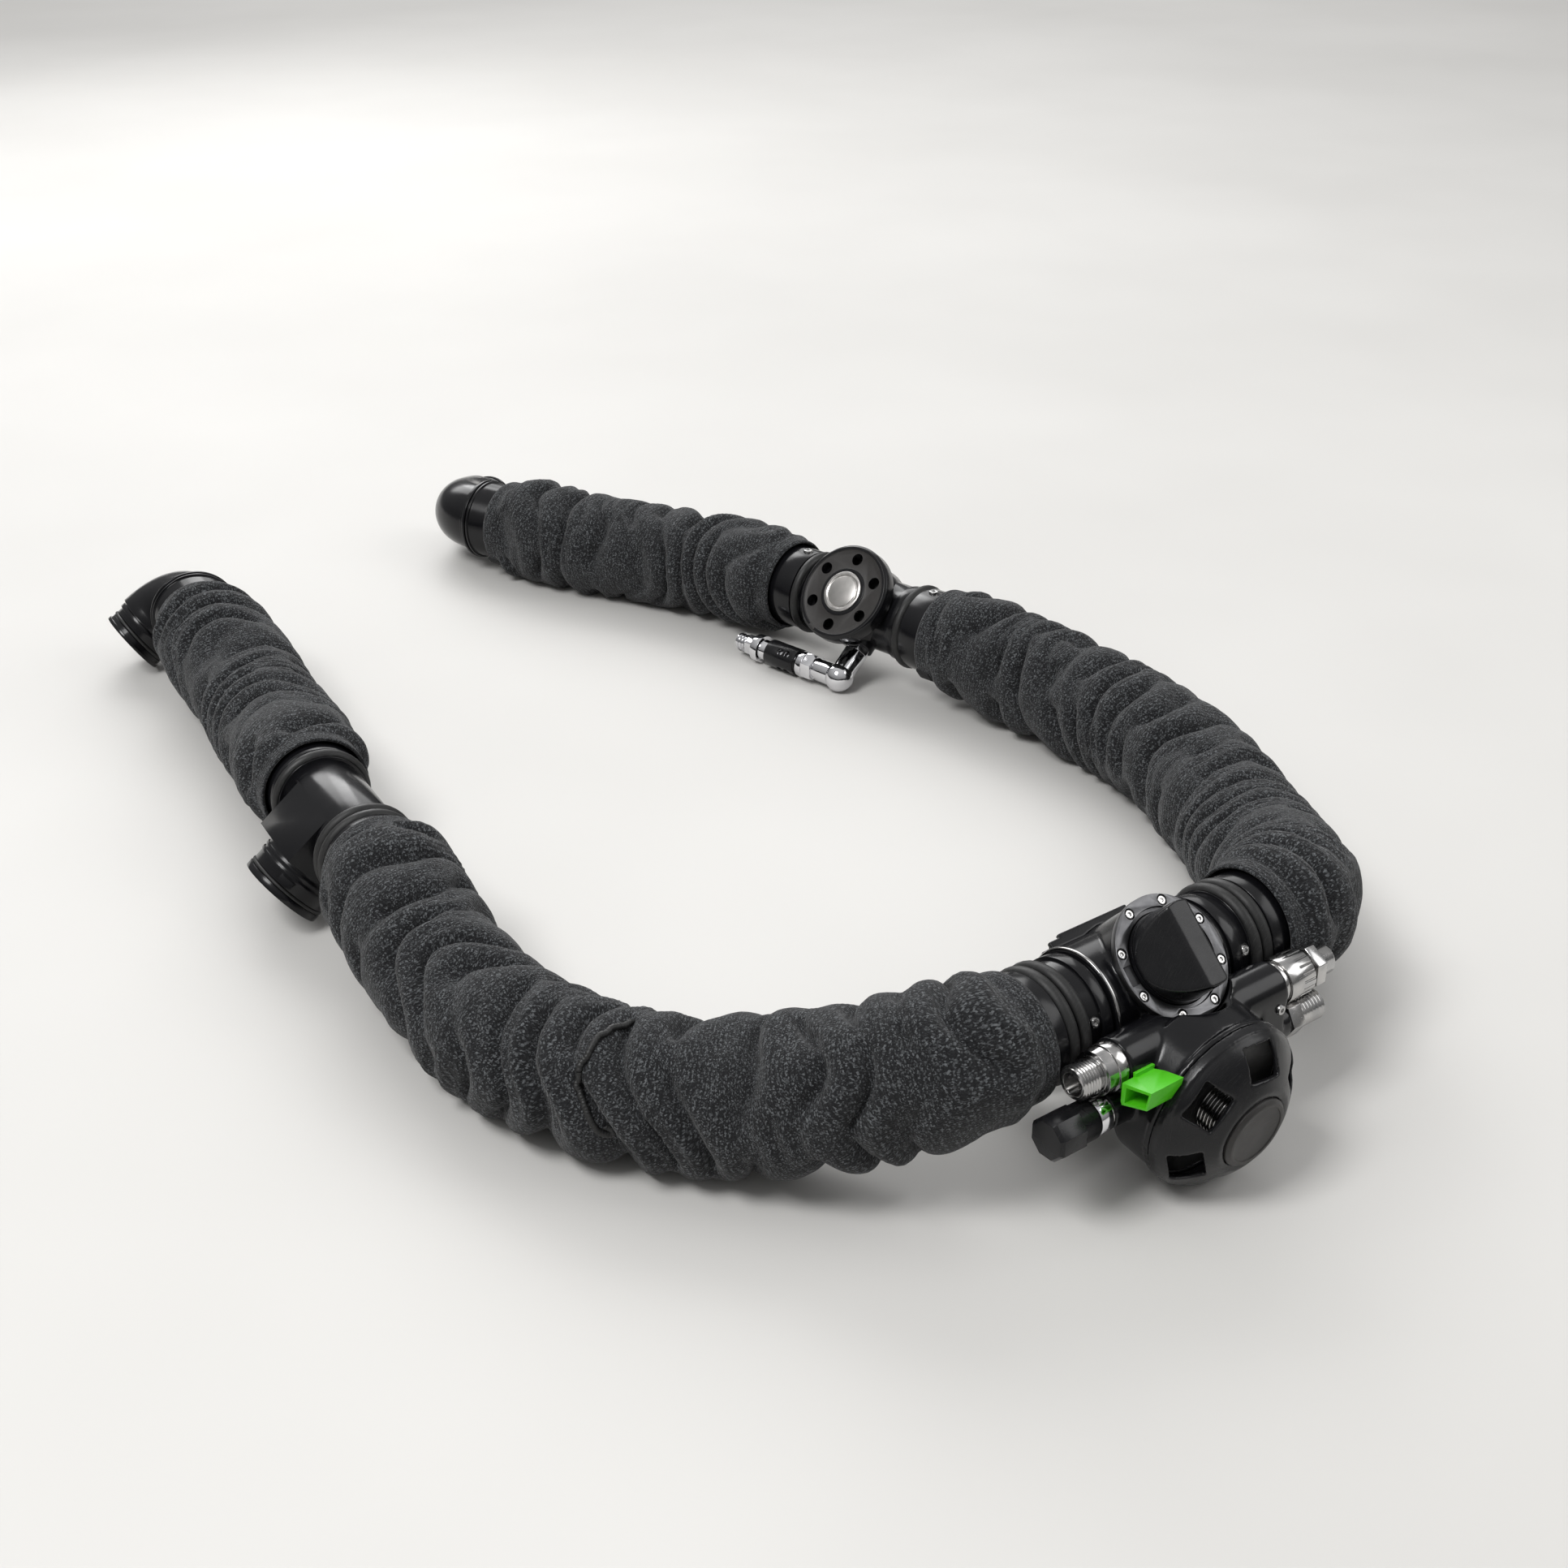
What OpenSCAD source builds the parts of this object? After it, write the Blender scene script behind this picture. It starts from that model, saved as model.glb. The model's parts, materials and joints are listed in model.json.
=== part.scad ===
// Breathing loop of a closed-circuit diving set: two elbows, an exhale tee, a bail-out
// valve with its own second stage, a diluent-addition tee, and four sleeved hoses.

/* [Hoses and covers] */
// Bore of the breathing hoses
hose_bore = 36; // [30:0.5:38]
// Wall of the breathing hoses
hose_wall = 4; // [3:0.5:5]
// Outside radius of a cover at the crest of its folds
cover_r = 30; // [28.5:0.5:33]
// Depth of a cover's folds
fold_depth = 3.6; // [1:0.2:5]
// Distance between a cover's folds
fold_pitch = 19; // [14:1:30]

/* [Hose connectors] */
// Outside radius of the smooth collar of a connector
collar_r = 23.5; // [23:0.25:25]
// Length of that collar, from the fitting's face to the end of the hose
collar_len = 24; // [20:1:30]
// Depth of the socket that takes a fitting's spigot
socket_len = 14; // [10:1:17]
// Radius of a fitting's spigot
spigot_r = 17.5; // [17:0.1:18]
// Outside radius of the rubber bumper rings
bumper_r = 24.5; // [24:0.25:27]
// Width of a rubber bumper ring
bumper_w = 5.6; // [4:0.2:7]

/* [Exhale tee] */
// Outside radius of the run and branch tubes
tee_r = 20.5; // [20:0.25:22]
// Half length of the run, from the branch axis to the connector's face
tee_half = 28; // [24:0.5:34]
// Length of the branch, from the run's axis to its open face
branch_len = 43; // [38:1:50]

/* [Elbows] */
// Outside radius of an elbow's tube
elbow_r = 21; // [20:0.25:22]
// Centre-line radius of the elbow's bend
elbow_bend = 22; // [22:0.5:28]
// Length of the outlet beyond the bend
outlet_len = 18; // [16:1:26]

/* [Addition valve tee] */
// Half length of the run, from the valve's axis to the connector's face
adv_half = 35; // [33:0.5:40]
// Outside radius of the valve's cap
cap_r = 28.5; // [27:0.5:30.5]
// Height of the cap's face above the run's axis
cap_top = 30; // [28:0.5:34]
// Radius of the push button in the cap
adv_button_r = 12; // [9:0.5:13]
// Number of water holes in the cap
cap_holes = 6; // [4:1:8]

/* [Bail-out valve] */
// Outside radius of the barrel
barrel_r = 21.5; // [21:0.25:22.5]
// Half length of the barrel, from the lever's axis to the connector's face
barrel_half = 45; // [44:0.5:50]
// Outside radius of the steel ring round the lever
ring_r = 26; // [25.5:0.25:29]
// Radius of the rotary valve inside the barrel
rotor_r = 19; // [18:0.25:19.25]
// Number of screws in the steel ring
ring_screws = 8; // [6:1:10]
// Height of the lever's bar above the steel ring
lever_h = 17; // [12:0.5:20]
// Width of the top of the lever's bar
lever_w = 10; // [8:0.5:14]

/* [Second stage] */
// Radius of the case and its cover
stage_r = 36.5; // [35:0.5:40]
// Depth of the case behind its seam
stage_depth = 28; // [26:0.5:32]
// Height of the domed cover in front of the seam
dome_h = 19.5; // [18:0.5:24]
// Number of windows in the domed cover
windows = 6; // [5:1:8]
// Radius of the purge button
purge_r = 15.5; // [13:0.5:17]
// Travel of the purge button
purge_travel = 3; // [2:0.5:3.5]
// Width across the flats of the eight-sided adjusting knob
knob_af = 17; // [16.5:0.5:20]
// Length of the adjusting knob
knob_len = 21; // [18:1:26]

/* [Gas fittings] */
// Radius of the black gas barrels
gas_r = 10.5; // [10:0.25:11]
// Outside radius of the inlet thread, 9/16 inch
thread_r = 7.14; // [6:0.02:8]
// Thread pitch, 18 turns to the inch
thread_pitch = 1.41; // [1:0.01:2]

/* [Clearances] */
// Radial clearance of a part that turns or slides in another
run_fit = 0.05; // [0.03:0.01:0.1]
// Play between a swivelling tee's end face and the connector on it
face_play = 0.02; // [0.01:0.01:0.05]
// Gap between faces of pieces that move past each other
face_gap = 0.3; // [0.2:0.05:0.6]

/* [Hidden] */
$fn = 64;

// Places of the fittings: [centre, heading of the run in degrees]
left_elbow_at = [[-123, 329, 38.3], 79];
tee_at = [[-184.5, 15.5, 43.2], -99];
bov_at = [[-14, -325, 62.2], 0];
adv_at = [[184, 73, 36], -80];
right_elbow_at = [[83.6, 373.3, 31], 112];

// Tilts of the branches about their run, from straight up
left_outlet_tilt = -124;
right_outlet_tilt = 102;
branch_tilt = 130;
cap_tilt = 52;
lever_tilt = 44;
stage_tilt = 99;

// Routes of the hoses between their fittings, chosen by hand
route_1 = [[-141, 215, 31.5], [-149, 172, 29.5], [-158, 128, 31.5]];
route_2 = [[-202, -92, 34], [-206, -132, 29.5], [-206, -170, 29.5], [-196, -208, 29.5],
           [-177, -240, 30], [-153, -269, 35], [-128, -301, 49]];
route_3 = [[96, -312, 56], [133, -268, 39], [173, -208, 29.5], [193, -161, 29.5],
  [202, -116, 29.5], [205, -72, 29.5], [203, -34, 31]];
route_4 = [[167, 175, 31], [157, 211, 29.5], [141, 243, 29.5], [124, 276, 29.5]];

hose_r = hose_bore / 2 + hose_wall;
sleeve_in = collar_r + 0.6;
hem_r = sleeve_in + 2.4;
bumper_in = collar_r - 1.5;
air_r = spigot_r - 2.3;
spigot_len = socket_len - 0.8;
hose_lead = 15;

BLACK = [0.07, 0.07, 0.08];
RUBBER = [0.11, 0.11, 0.12];
KNIT = [0.22, 0.23, 0.24];
STEEL = [0.72, 0.72, 0.74];
CHROME = [0.85, 0.86, 0.88];
GREY = [0.33, 0.34, 0.35];
BRASS = [0.75, 0.55, 0.25];
GREEN = [0.25, 0.85, 0.1];
SILICONE = [0.75, 0.76, 0.74];

// ---------- placing ----------

function dir(a) = [cos(a), sin(a), 0];
function port(at, side, face) = [at[0] + side * face * dir(at[1]), at[1] + (side < 0 ? 180 : 0)];
function out_of(p, d) = p[0] + d * dir(p[1]);

left_elbow_port = port(left_elbow_at, -1, elbow_bend + 3);
tee_port_a = port(tee_at, -1, tee_half);
tee_port_b = port(tee_at, 1, tee_half);
bov_port_a = port(bov_at, -1, barrel_half);
bov_port_b = port(bov_at, 1, barrel_half);
adv_port_b = port(adv_at, 1, adv_half);
adv_port_a = port(adv_at, -1, adv_half);
right_elbow_port = port(right_elbow_at, -1, elbow_bend + 3);

// Each hose: its two ports and route, and how far each hem stands from the port's face
HOSES = [
  [left_elbow_port, route_1, tee_port_a, 5, 11],
  [tee_port_b, route_2, bov_port_a, 14, 20],
  [bov_port_b, route_3, adv_port_b, 20, 20],
  [adv_port_a, route_4, right_elbow_port, 21, 5]
];
// Each port's bumper rings, in the same order
RINGS = [[0, 1], [2, 2], [2, 1], [1, 0]];

module at(place) { translate(place[0]) rotate([0, 0, place[1]]) children(); }
module along_x() { rotate([0, 90, 0]) children(); }
module ring(r_out, r_in, z0, z1) {
  translate([0, 0, z0]) difference() {
    cylinder(r = r_out, h = z1 - z0);
    translate([0, 0, -1]) cylinder(r = r_in, h = z1 - z0 + 2);
  }
}
module seal(r, wire, z) { translate([0, 0, z]) rotate_extrude() translate([r, 0]) circle(r = wire, $fn = 24); }
module stadium(w, h, len) {
  r = h / 2;
  for (s = [-1, 1]) translate([s * (w / 2 - r), 0, 0]) cylinder(r = r, h = len);
  translate([-(w / 2 - r), -r, 0]) cube([w - 2 * r, h, len]);
}

// ---------- routes ----------

function unit(v) = v / norm(v);
function knot(P, i) =
  i < 0 ? 2 * P[0] - P[1] : i >= len(P) ? 2 * P[len(P) - 1] - P[len(P) - 2] : P[i];
function spline(P, i, t) =
  let (a = knot(P, i - 1), b = knot(P, i), c = knot(P, i + 1), d = knot(P, i + 2))
  0.5 * (2 * b + (c - a) * t + (2 * a - 5 * b + 4 * c - d) * t * t + (3 * b - a - 3 * c + d) * t * t * t);
function samples(P, step) = [
  for (i = [0:len(P) - 2])
    let (n = max(1, round(norm(P[i + 1] - P[i]) / step)))
    for (k = [0:n - 1]) spline(P, i, k / n),
  P[len(P) - 1]
];
function centre_line(h) = concat(
  [for (d = [0, 0.5, 1]) out_of(h[0], collar_len + d * hose_lead)],
  h[1],
  [for (d = [1, 0.5, 0]) out_of(h[2], collar_len + d * hose_lead)]
);
function hemmed(h, Q) = concat(
  [out_of(h[0], h[3]), out_of(h[0], (h[3] + collar_len) / 2)],
  Q,
  [out_of(h[2], (h[4] + collar_len) / 2), out_of(h[2], h[4])]
);
function tangent(Q, i) = unit(Q[min(i + 1, len(Q) - 1)] - Q[max(i - 1, 0)]);
function arc_to(Q, i) = i == 0 ? 0 : arc_to(Q, i - 1) + norm(Q[i] - Q[i - 1]);
function ring_points(Q, i, n, radii) =
  let (t = tangent(Q, i), side = unit(cross([0, 0, 1], t)), up = cross(t, side))
  [for (k = [0:n - 1]) Q[i] + radii[k] * (cos(360 * k / n) * side + sin(360 * k / n) * up)];
function on_table(p) = [p[0], p[1], max(p[2], 0)];

// Faces of a tube wall: rings of n points, outer rings first, then the inner rings
function band(first, n, flip) = [
  for (k = [0:n - 1]) let (a = first + k, b = first + (k + 1) % n)
    each flip ? [[a, b + n, b], [a, a + n, b + n]] : [[a, b, b + n], [a, b + n, a + n]]
];
function rim(outer, inner, n, flip) = [
  for (k = [0:n - 1]) let (m = (k + 1) % n)
    each flip ? [[outer + k, inner + m, outer + m], [outer + k, inner + k, inner + m]]
              : [[outer + k, outer + m, inner + m], [outer + k, inner + m, inner + k]]
];
module sleeve(outer_rings, inner_rings, n) {
  no = len(outer_rings);
  ni = len(inner_rings);
  points = [for (r = outer_rings) each r, for (r = inner_rings) each r];
  faces = [
    for (i = [0:no - 2]) each band(i * n, n, false),
    for (i = [0:ni - 2]) each band((no + i) * n, n, true),
    each rim(0, no * n, n, true),
    each rim((no - 1) * n, (no + ni - 1) * n, n, false)
  ];
  polyhedron(points = points, faces = faces, convexity = 6);
}

// ---------- hoses and covers ----------

hose_sides = 10;
hose_step = 24;
cover_sides = 14;
cover_step = 10.5;
lining_step = 24;
hem_len = 13;

module hose(h) {
  Q = samples(centre_line(h), hose_step);
  n = hose_sides;
  bore = [for (k = [1:n]) (hose_bore / 2 + 0.1) / cos(180 / n)];
  wall = [for (k = [1:n]) hose_r];
  color(RUBBER)
    sleeve([for (i = [0:len(Q) - 1]) ring_points(Q, i, n, wall)],
           [for (i = [0:len(Q) - 1]) ring_points(Q, i, n, bore)], n);
}

// Folds run round the sleeve, wander as they go round, and die out at the hems
function fold(s, a, total, seed) =
  let (env = max(0, min(1, (s - 4) / hem_len, (total - s - 4) / hem_len)),
       wave = sin(360 * s / fold_pitch + 75 * sin(a + 50 * seed) + 40 * sin(2 * a + 3 * s)),
       swell = sin(360 * s / (2.7 * fold_pitch) + 120 * seed + 60 * sin(a)))
  hem_r + env * (cover_r - hem_r - fold_depth * (0.5 - 0.36 * wave - 0.14 * swell));

module cover(h, seed) {
  n = cover_sides;
  Q = hemmed(h, samples(centre_line(h), cover_step));
  R = hemmed(h, samples(centre_line(h), lining_step));
  total = arc_to(Q, len(Q) - 1);
  inner = [for (k = [1:n]) sleeve_in / cos(180 / n)];
  outer_rings = [
    for (i = [0:len(Q) - 1]) let (s = arc_to(Q, i))
      [for (p = ring_points(Q, i, n, [for (k = [0:n - 1]) fold(s, 360 * k / n, total, seed)])) on_table(p)]
  ];
  color(KNIT) sleeve(outer_rings, [for (i = [0:len(R) - 1]) ring_points(R, i, n, inner)], n);
}

// A connector: socket for the spigot, seats for bumper rings, collar, barbed nipple for the hose
pin_at = 12;
pin_r = 2.2;
barbs = 3;
nipple_len = 8;
seat_w = bumper_w + 0.6;

module connector_shape(rings) {
  nip = hose_bore / 2;
  seat = rings * seat_w;
  difference() {
    union() {
      if (rings == 0) {
        cylinder(r = collar_r + 1.6, h = 1.8);
        translate([0, 0, 2.6]) cylinder(r = collar_r + 1.2, h = 1.6);
      }
      cylinder(r = bumper_in, h = collar_len);
      translate([0, 0, seat]) cylinder(r = collar_r, h = collar_len - seat);
      for (i = [0:barbs - 1])
        translate([0, 0, collar_len + i * nipple_len / barbs - 0.01])
          cylinder(r1 = nip, r2 = nip - 0.9, h = nipple_len / barbs + 0.01);
    }
    translate([0, 0, -1]) cylinder(r = spigot_r + run_fit, h = socket_len + 1);
    cylinder(r = air_r, h = collar_len + nipple_len + 1);
  }
}
module to_port(p) { translate(p[0]) rotate([0, 0, p[1]]) rotate([0, 90, 0]) children(); }
module connector(i, end) {
  color(BLACK) to_port(HOSES[i][2 * end]) difference() {
    connector_shape(RINGS[i][end]);
    if (i == 2 && end == 1 || i == 3 && end == 0)
      rotate([0, -90, 0]) translate([pin_at, 0, collar_r - 0.2]) cylinder(r = 2.8, h = 3);
  }
}
module bumper_rings() {
  color(RUBBER) for (i = [0:3], end = [0, 1]) to_port(HOSES[i][2 * end])
    for (k = [0:1:RINGS[i][end] - 1]) translate([0, 0, k * seat_w + 0.3]) bumper();
}
// A ring's section: flat on its seat, round outside
module bumper() {
  r = bumper_w / 2;
  rotate_extrude() difference() {
    union() {
      translate([bumper_r - r, r]) circle(r = r, $fn = 32);
      translate([bumper_in, 0]) square([bumper_r - r - bumper_in, bumper_w]);
    }
    square([bumper_in, bumper_w]);
  }
}

// A fitting's end, made along +Z from its face: spigot with two seal grooves
seal_wire = 1.2;
module spigot(face) {
  difference() {
    translate([0, 0, face - 0.1]) cylinder(r = spigot_r, h = spigot_len + 0.1);
    for (z = [4, 8.5]) seal_groove(face + z);
  }
}
module seal_groove(z) {
  translate([0, 0, z - seal_wire]) difference() {
    cylinder(r = spigot_r + 1, h = 2 * seal_wire);
    translate([0, 0, -1]) cylinder(r = spigot_r - 1.6, h = 2 * seal_wire + 2);
  }
}
module spigot_seals(face) { for (z = [4, 8.5]) seal(spigot_r - 1.6 + 0.82, 0.8, face + z); }
module screw_head(r, h) {
  difference() {
    cylinder(r1 = r, r2 = r - 0.4, h = h, $fn = 32);
    translate([0, 0, h / 2]) cylinder(r = r * 0.45, h = h, $fn = 6);
  }
}

// ---------- elbows ----------

// Run along X with the hose on the -X side, outlet along +Z
module elbow(outlet_r) {
  b = elbow_bend;
  module run(r, from, to) { translate([-to, 0, 0]) along_x() cylinder(r = r, h = to - from); }
  difference() {
    union() {
      bend_at(b, elbow_r);
      run(elbow_r, b, b + 3);
      run(collar_r, b + 0.6, b + 2.7);
      run(spigot_r, b + 3, b + 3 + spigot_len);
      translate([0, 0, b]) cylinder(r = elbow_r, h = 4);
      translate([0, 0, b + 3]) cylinder(r = outlet_r, h = outlet_len - 3);
      translate([0, 0, b + 5]) cylinder(r = outlet_r + 1.3, h = 2.6);
      translate([0, 0, b + outlet_len - 2]) cylinder(r = outlet_r + 0.8, h = 2);
    }
    bend_at(b, air_r);
    run(air_r, b, b + 4 + spigot_len);
    translate([0, 0, b]) cylinder(r = air_r, h = outlet_len + 1);
    along_x() mirror([0, 0, 1]) for (z = [4, 8.5]) seal_groove(b + 3 + z);
    translate([0, 0, b + 11]) difference() {
      cylinder(r = outlet_r + 2, h = 2.4);
      translate([0, 0, -1]) cylinder(r = outlet_r - 1.5, h = 5);
    }
  }
}
module bend_at(b, r) {
  translate([-b, 0, b]) rotate([90, 0, 0]) rotate([0, 0, -90])
    rotate_extrude(angle = 90) translate([b, 0]) circle(r = r);
}
module elbow_seals(outlet_r) {
  along_x() mirror([0, 0, 1]) spigot_seals(elbow_bend + 3);
  seal(outlet_r - 1.5 + 1.05, 1, elbow_bend + 12.2);
}
outlet_r = 18.5;
module left_elbow() { color(BLACK) at(left_elbow_at) rotate([left_outlet_tilt, 0, 0]) elbow(outlet_r); }
module left_elbow_seals() {
  color(RUBBER) at(left_elbow_at) rotate([left_outlet_tilt, 0, 0]) elbow_seals(outlet_r);
}
module right_elbow() { color(BLACK) at(right_elbow_at) rotate([right_outlet_tilt, 0, 0]) elbow(outlet_r); }
module right_elbow_seals() {
  color(RUBBER) at(right_elbow_at) rotate([right_outlet_tilt, 0, 0]) elbow_seals(outlet_r);
}

// ---------- exhale tee ----------

boss_w = 42;
module tee_body() {
  color(BLACK) at(tee_at) difference() {
    union() {
      along_x() translate([0, 0, face_play - tee_half]) cylinder(r = tee_r, h = 2 * (tee_half - face_play));
      for (s = [0, 1]) rotate([0, 0, 180 * s]) along_x() spigot(tee_half);
      rotate([branch_tilt, 0, 0]) {
        translate([-boss_w / 2, -tee_r, 0]) cube([boss_w, 2 * tee_r, branch_len - 17]);
        cylinder(r = tee_r - 0.6, h = branch_len);
        translate([0, 0, branch_len - 15]) cylinder(r = tee_r, h = 1.4);
        translate([0, 0, branch_len - 12]) cylinder(r = tee_r, h = 1.4);
        translate([0, 0, branch_len - 3]) cylinder(r = tee_r - 0.1, h = 3);
        for (a = [35, 215]) rotate([0, 0, a]) translate([tee_r - 2, -3.5, branch_len - 10]) cube([2.8, 7, 4]);
      }
    }
    along_x() translate([0, 0, -tee_half - spigot_len - 1]) cylinder(r = air_r, h = 2 * (tee_half + spigot_len) + 2);
    rotate([branch_tilt, 0, 0]) {
      cylinder(r = air_r + 1, h = branch_len + 1);
      translate([0, 0, branch_len - 5.6]) difference() {
        cylinder(r = tee_r + 2, h = 2.2);
        translate([0, 0, -1]) cylinder(r = tee_r - 2, h = 5);
      }
    }
  }
}
module tee_seals() {
  color(RUBBER) at(tee_at) {
    for (s = [0, 1]) rotate([0, 0, 180 * s]) along_x() spigot_seals(tee_half);
    rotate([branch_tilt, 0, 0]) seal(tee_r - 2 + 0.95, 0.9, branch_len - 4.5);
  }
}

// ---------- addition valve ----------

boss_r = 25;
cap_base = tee_r + 0.8;
cap_wall = 2;
cap_lid = 2.2;
adv_travel = 3;
module adv_body() {
  color(BLACK) at(adv_at) difference() {
    union() {
      along_x() translate([0, 0, face_play - adv_half]) cylinder(r = tee_r, h = 2 * (adv_half - face_play));
      for (s = [-1, 1]) along_x() translate([0, 0, s * (adv_half - 3) - 2.5]) cylinder(r = tee_r + 1.2, h = 5);
      for (s = [0, 1]) rotate([0, 0, 180 * s]) along_x() spigot(adv_half);
      rotate([cap_tilt, 0, 0]) cylinder(r = boss_r, h = cap_base);
      rotate([stud_tilt, 0, 0]) translate([stud_x, 0, 0]) cylinder(r = 8, h = tee_r + 4);
    }
    along_x() translate([0, 0, -adv_half - spigot_len - 1]) cylinder(r = air_r, h = 2 * (adv_half + spigot_len) + 2);
    rotate([cap_tilt, 0, 0]) {
      translate([0, 0, cap_base - 4]) cylinder(r = boss_r - 3, h = 5);
      cylinder(r = 9, h = cap_base);
    }
    rotate([stud_tilt, 0, 0]) translate([stud_x, 0, 6]) cylinder(r = stud_r + run_fit, h = tee_r + 8);
    rotate([stud_tilt, 0, 0]) translate([stud_x, 0, tee_r + 4]) cylinder(r = 7.8, h = 12);
  }
}
module adv_seals() {
  color(RUBBER) at(adv_at) for (s = [0, 1]) rotate([0, 0, 180 * s]) along_x() spigot_seals(adv_half);
}
module adv_diaphragm() {
  color(RUBBER) at(adv_at) rotate([cap_tilt, 0, 0]) {
    translate([0, 0, cap_base - 1.2]) cylinder(r = boss_r - 3, h = 1.2);
    translate([0, 0, cap_base - 2]) cylinder(r = 10, h = 1);
  }
}
module adv_cap() {
  color(GREY) at(adv_at) rotate([cap_tilt, 0, 0]) difference() {
    union() {
      translate([0, 0, cap_base]) cylinder(r = cap_r, h = cap_top - cap_base - 1.2);
      translate([0, 0, cap_top - 1.2]) cylinder(r1 = cap_r, r2 = cap_r - 1.2, h = 1.2);
    }
    translate([0, 0, cap_base - 1]) cylinder(r = boss_r - 3, h = cap_top - cap_base + 1 - cap_lid);
    translate([0, 0, cap_top - 0.5]) difference() {
      cylinder(r = cap_r - 3, h = 1);
      translate([0, 0, -1]) cylinder(r = adv_button_r + 2.2, h = 3);
    }
    cylinder(r = adv_button_r + run_fit, h = cap_top + 1);
    for (a = [1:cap_holes]) rotate([0, 0, 360 * (a + 0.5) / cap_holes])
      translate([(adv_button_r + cap_r) / 2 - 0.8, 0, cap_top - 5]) cylinder(r = 1.7, h = 6, $fn = 24);
  }
}
module adv_button() {
  color(STEEL) at(adv_at) rotate([cap_tilt, 0, 0]) difference() {
    union() {
      translate([0, 0, cap_top - cap_lid - 1.8]) cylinder(r = adv_button_r, h = cap_lid + 2.4);
      translate([0, 0, cap_top - cap_lid - 2.2]) cylinder(r = adv_button_r + 1.6, h = 1.6);
    }
    translate([0, 0, cap_top + 0.1]) ring(adv_button_r - 2, adv_button_r - 3, 0, 2);
  }
}
module adv_spring() {
  z0 = cap_base;
  z1 = cap_top - cap_lid - 2.2;
  color(STEEL) at(adv_at) rotate([cap_tilt, 0, 0])
    for (k = [0:4]) seal(7, 0.6, z0 + 0.6 + k * (z1 - z0 - 1.2) / 4);
}

// The swivel and shut-off lie beside the run, on the cap's side of the table
stud_x = 10;
stud_r = 4.5;
shut_y = -37;
shut_z = -27.5;
shut_r = 8;
stud_tilt = 90 + atan2(-shut_z, -shut_y);
shut_far = norm([shut_y, shut_z]);
module at_stud() { at(adv_at) rotate([stud_tilt, 0, 0]) translate([stud_x, 0, 0]) children(); }
module at_shut() { at(adv_at) translate([stud_x, shut_y, shut_z]) rotate([0, -90, 0]) children(); }
module shutoff_stud() {
  color(CHROME) at_stud() difference() {
    union() {
      translate([0, 0, 14]) cylinder(r = stud_r, h = shut_far - 14 - 2);
      translate([0, 0, tee_r + 4]) cylinder(r = 7.4, h = 4, $fn = 6);
    }
    translate([0, 0, 10]) cylinder(r = 1.8, h = shut_far - 18);
  }
}
module shutoff_elbow() {
  color(CHROME) {
    difference() {
      union() {
        at_stud() translate([0, 0, tee_r + 8 + face_gap]) cylinder(r = 7, h = shut_far - tee_r - 8 - face_gap);
        at_shut() sphere(r = shut_r + 0.4);
        at_shut() cylinder(r = 6.6, h = 17);
      }
      at_stud() translate([0, 0, tee_r]) cylinder(r = stud_r + run_fit, h = shut_far - tee_r - 1.5);
      at_shut() cylinder(r = 2, h = 20);
    }
  }
}
slide_from = 32;
slide_len = 22;
slide_travel = 5;
module shutoff_body() {
  color(CHROME) at_shut() difference() {
    union() {
      translate([0, 0, 17]) cylinder(r = 8.2, h = 7, $fn = 6);
      translate([0, 0, 24]) cylinder(r = 6, h = 34);
      translate([0, 0, 24]) cylinder(r = 7.6, h = 4);
      translate([0, 0, 58]) cylinder(r = shut_r, h = 5);
      translate([0, 0, 63]) cylinder(r = 6.5, h = 6, $fn = 6);
      translate([0, 0, 69]) cylinder(r = 5, h = 8);
      for (k = [0:2]) translate([0, 0, 70 + 2.4 * k]) cylinder(r1 = 5.6, r2 = 5, h = 1.8);
    }
    translate([0, 0, 16]) cylinder(r = 2, h = 62);
    translate([0, 0, 65]) cylinder(r = 2.8, h = 14);
  }
}
module shutoff_slider() {
  color(BLACK) at_shut() difference() {
    translate([0, 0, slide_from - 2]) cylinder(r = shut_r - 0.2, h = slide_len);
    translate([0, 0, slide_from - 3]) cylinder(r = 6 + run_fit, h = slide_len + 2);
    for (a = [0:3]) rotate([0, 0, 45 + 90 * a]) for (z = [0, 5])
      translate([0, 0, slide_from + 4 + z]) along_x() translate([0, 0, 5.2]) cylinder(r = 2.2, h = 5, $fn = 24);
  }
}
// ---------- bail-out valve ----------

// Frames: X along the barrel; the lever's axis and the second stage's axis tilt about X
module at_bov() { at(bov_at) children(); }
module at_lever() { at(bov_at) rotate([lever_tilt, 0, 0]) children(); }
module at_mouth() { at(bov_at) rotate([lever_tilt + 180, 0, 0]) children(); }
stage_at = [-7, -53.5, -25.6];
module at_stage() { at(bov_at) translate(stage_at) rotate([stage_tilt, 0, 0]) children(); }
// The two gas axes lie parallel to the barrel: the supply, then the demand valve
gas_y = -34.3;
gas_z = -2.1;
demand_y = -37.4;
demand_z = -19;
module at_gas(x) { at(bov_at) translate([x, gas_y, gas_z]) along_x() children(); }
module at_demand(x) { at(bov_at) translate([x, demand_y, demand_z]) along_x() children(); }

house_half = 32;
house_r = 23.5;
boss_base = -16;
ring_z = 25;
ring_t = 3;
flange_r = ring_r - 5.6;
neck_r = 15;
tube_r = 6.5;
block_x0 = 27;
block_x1 = 47;

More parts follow.
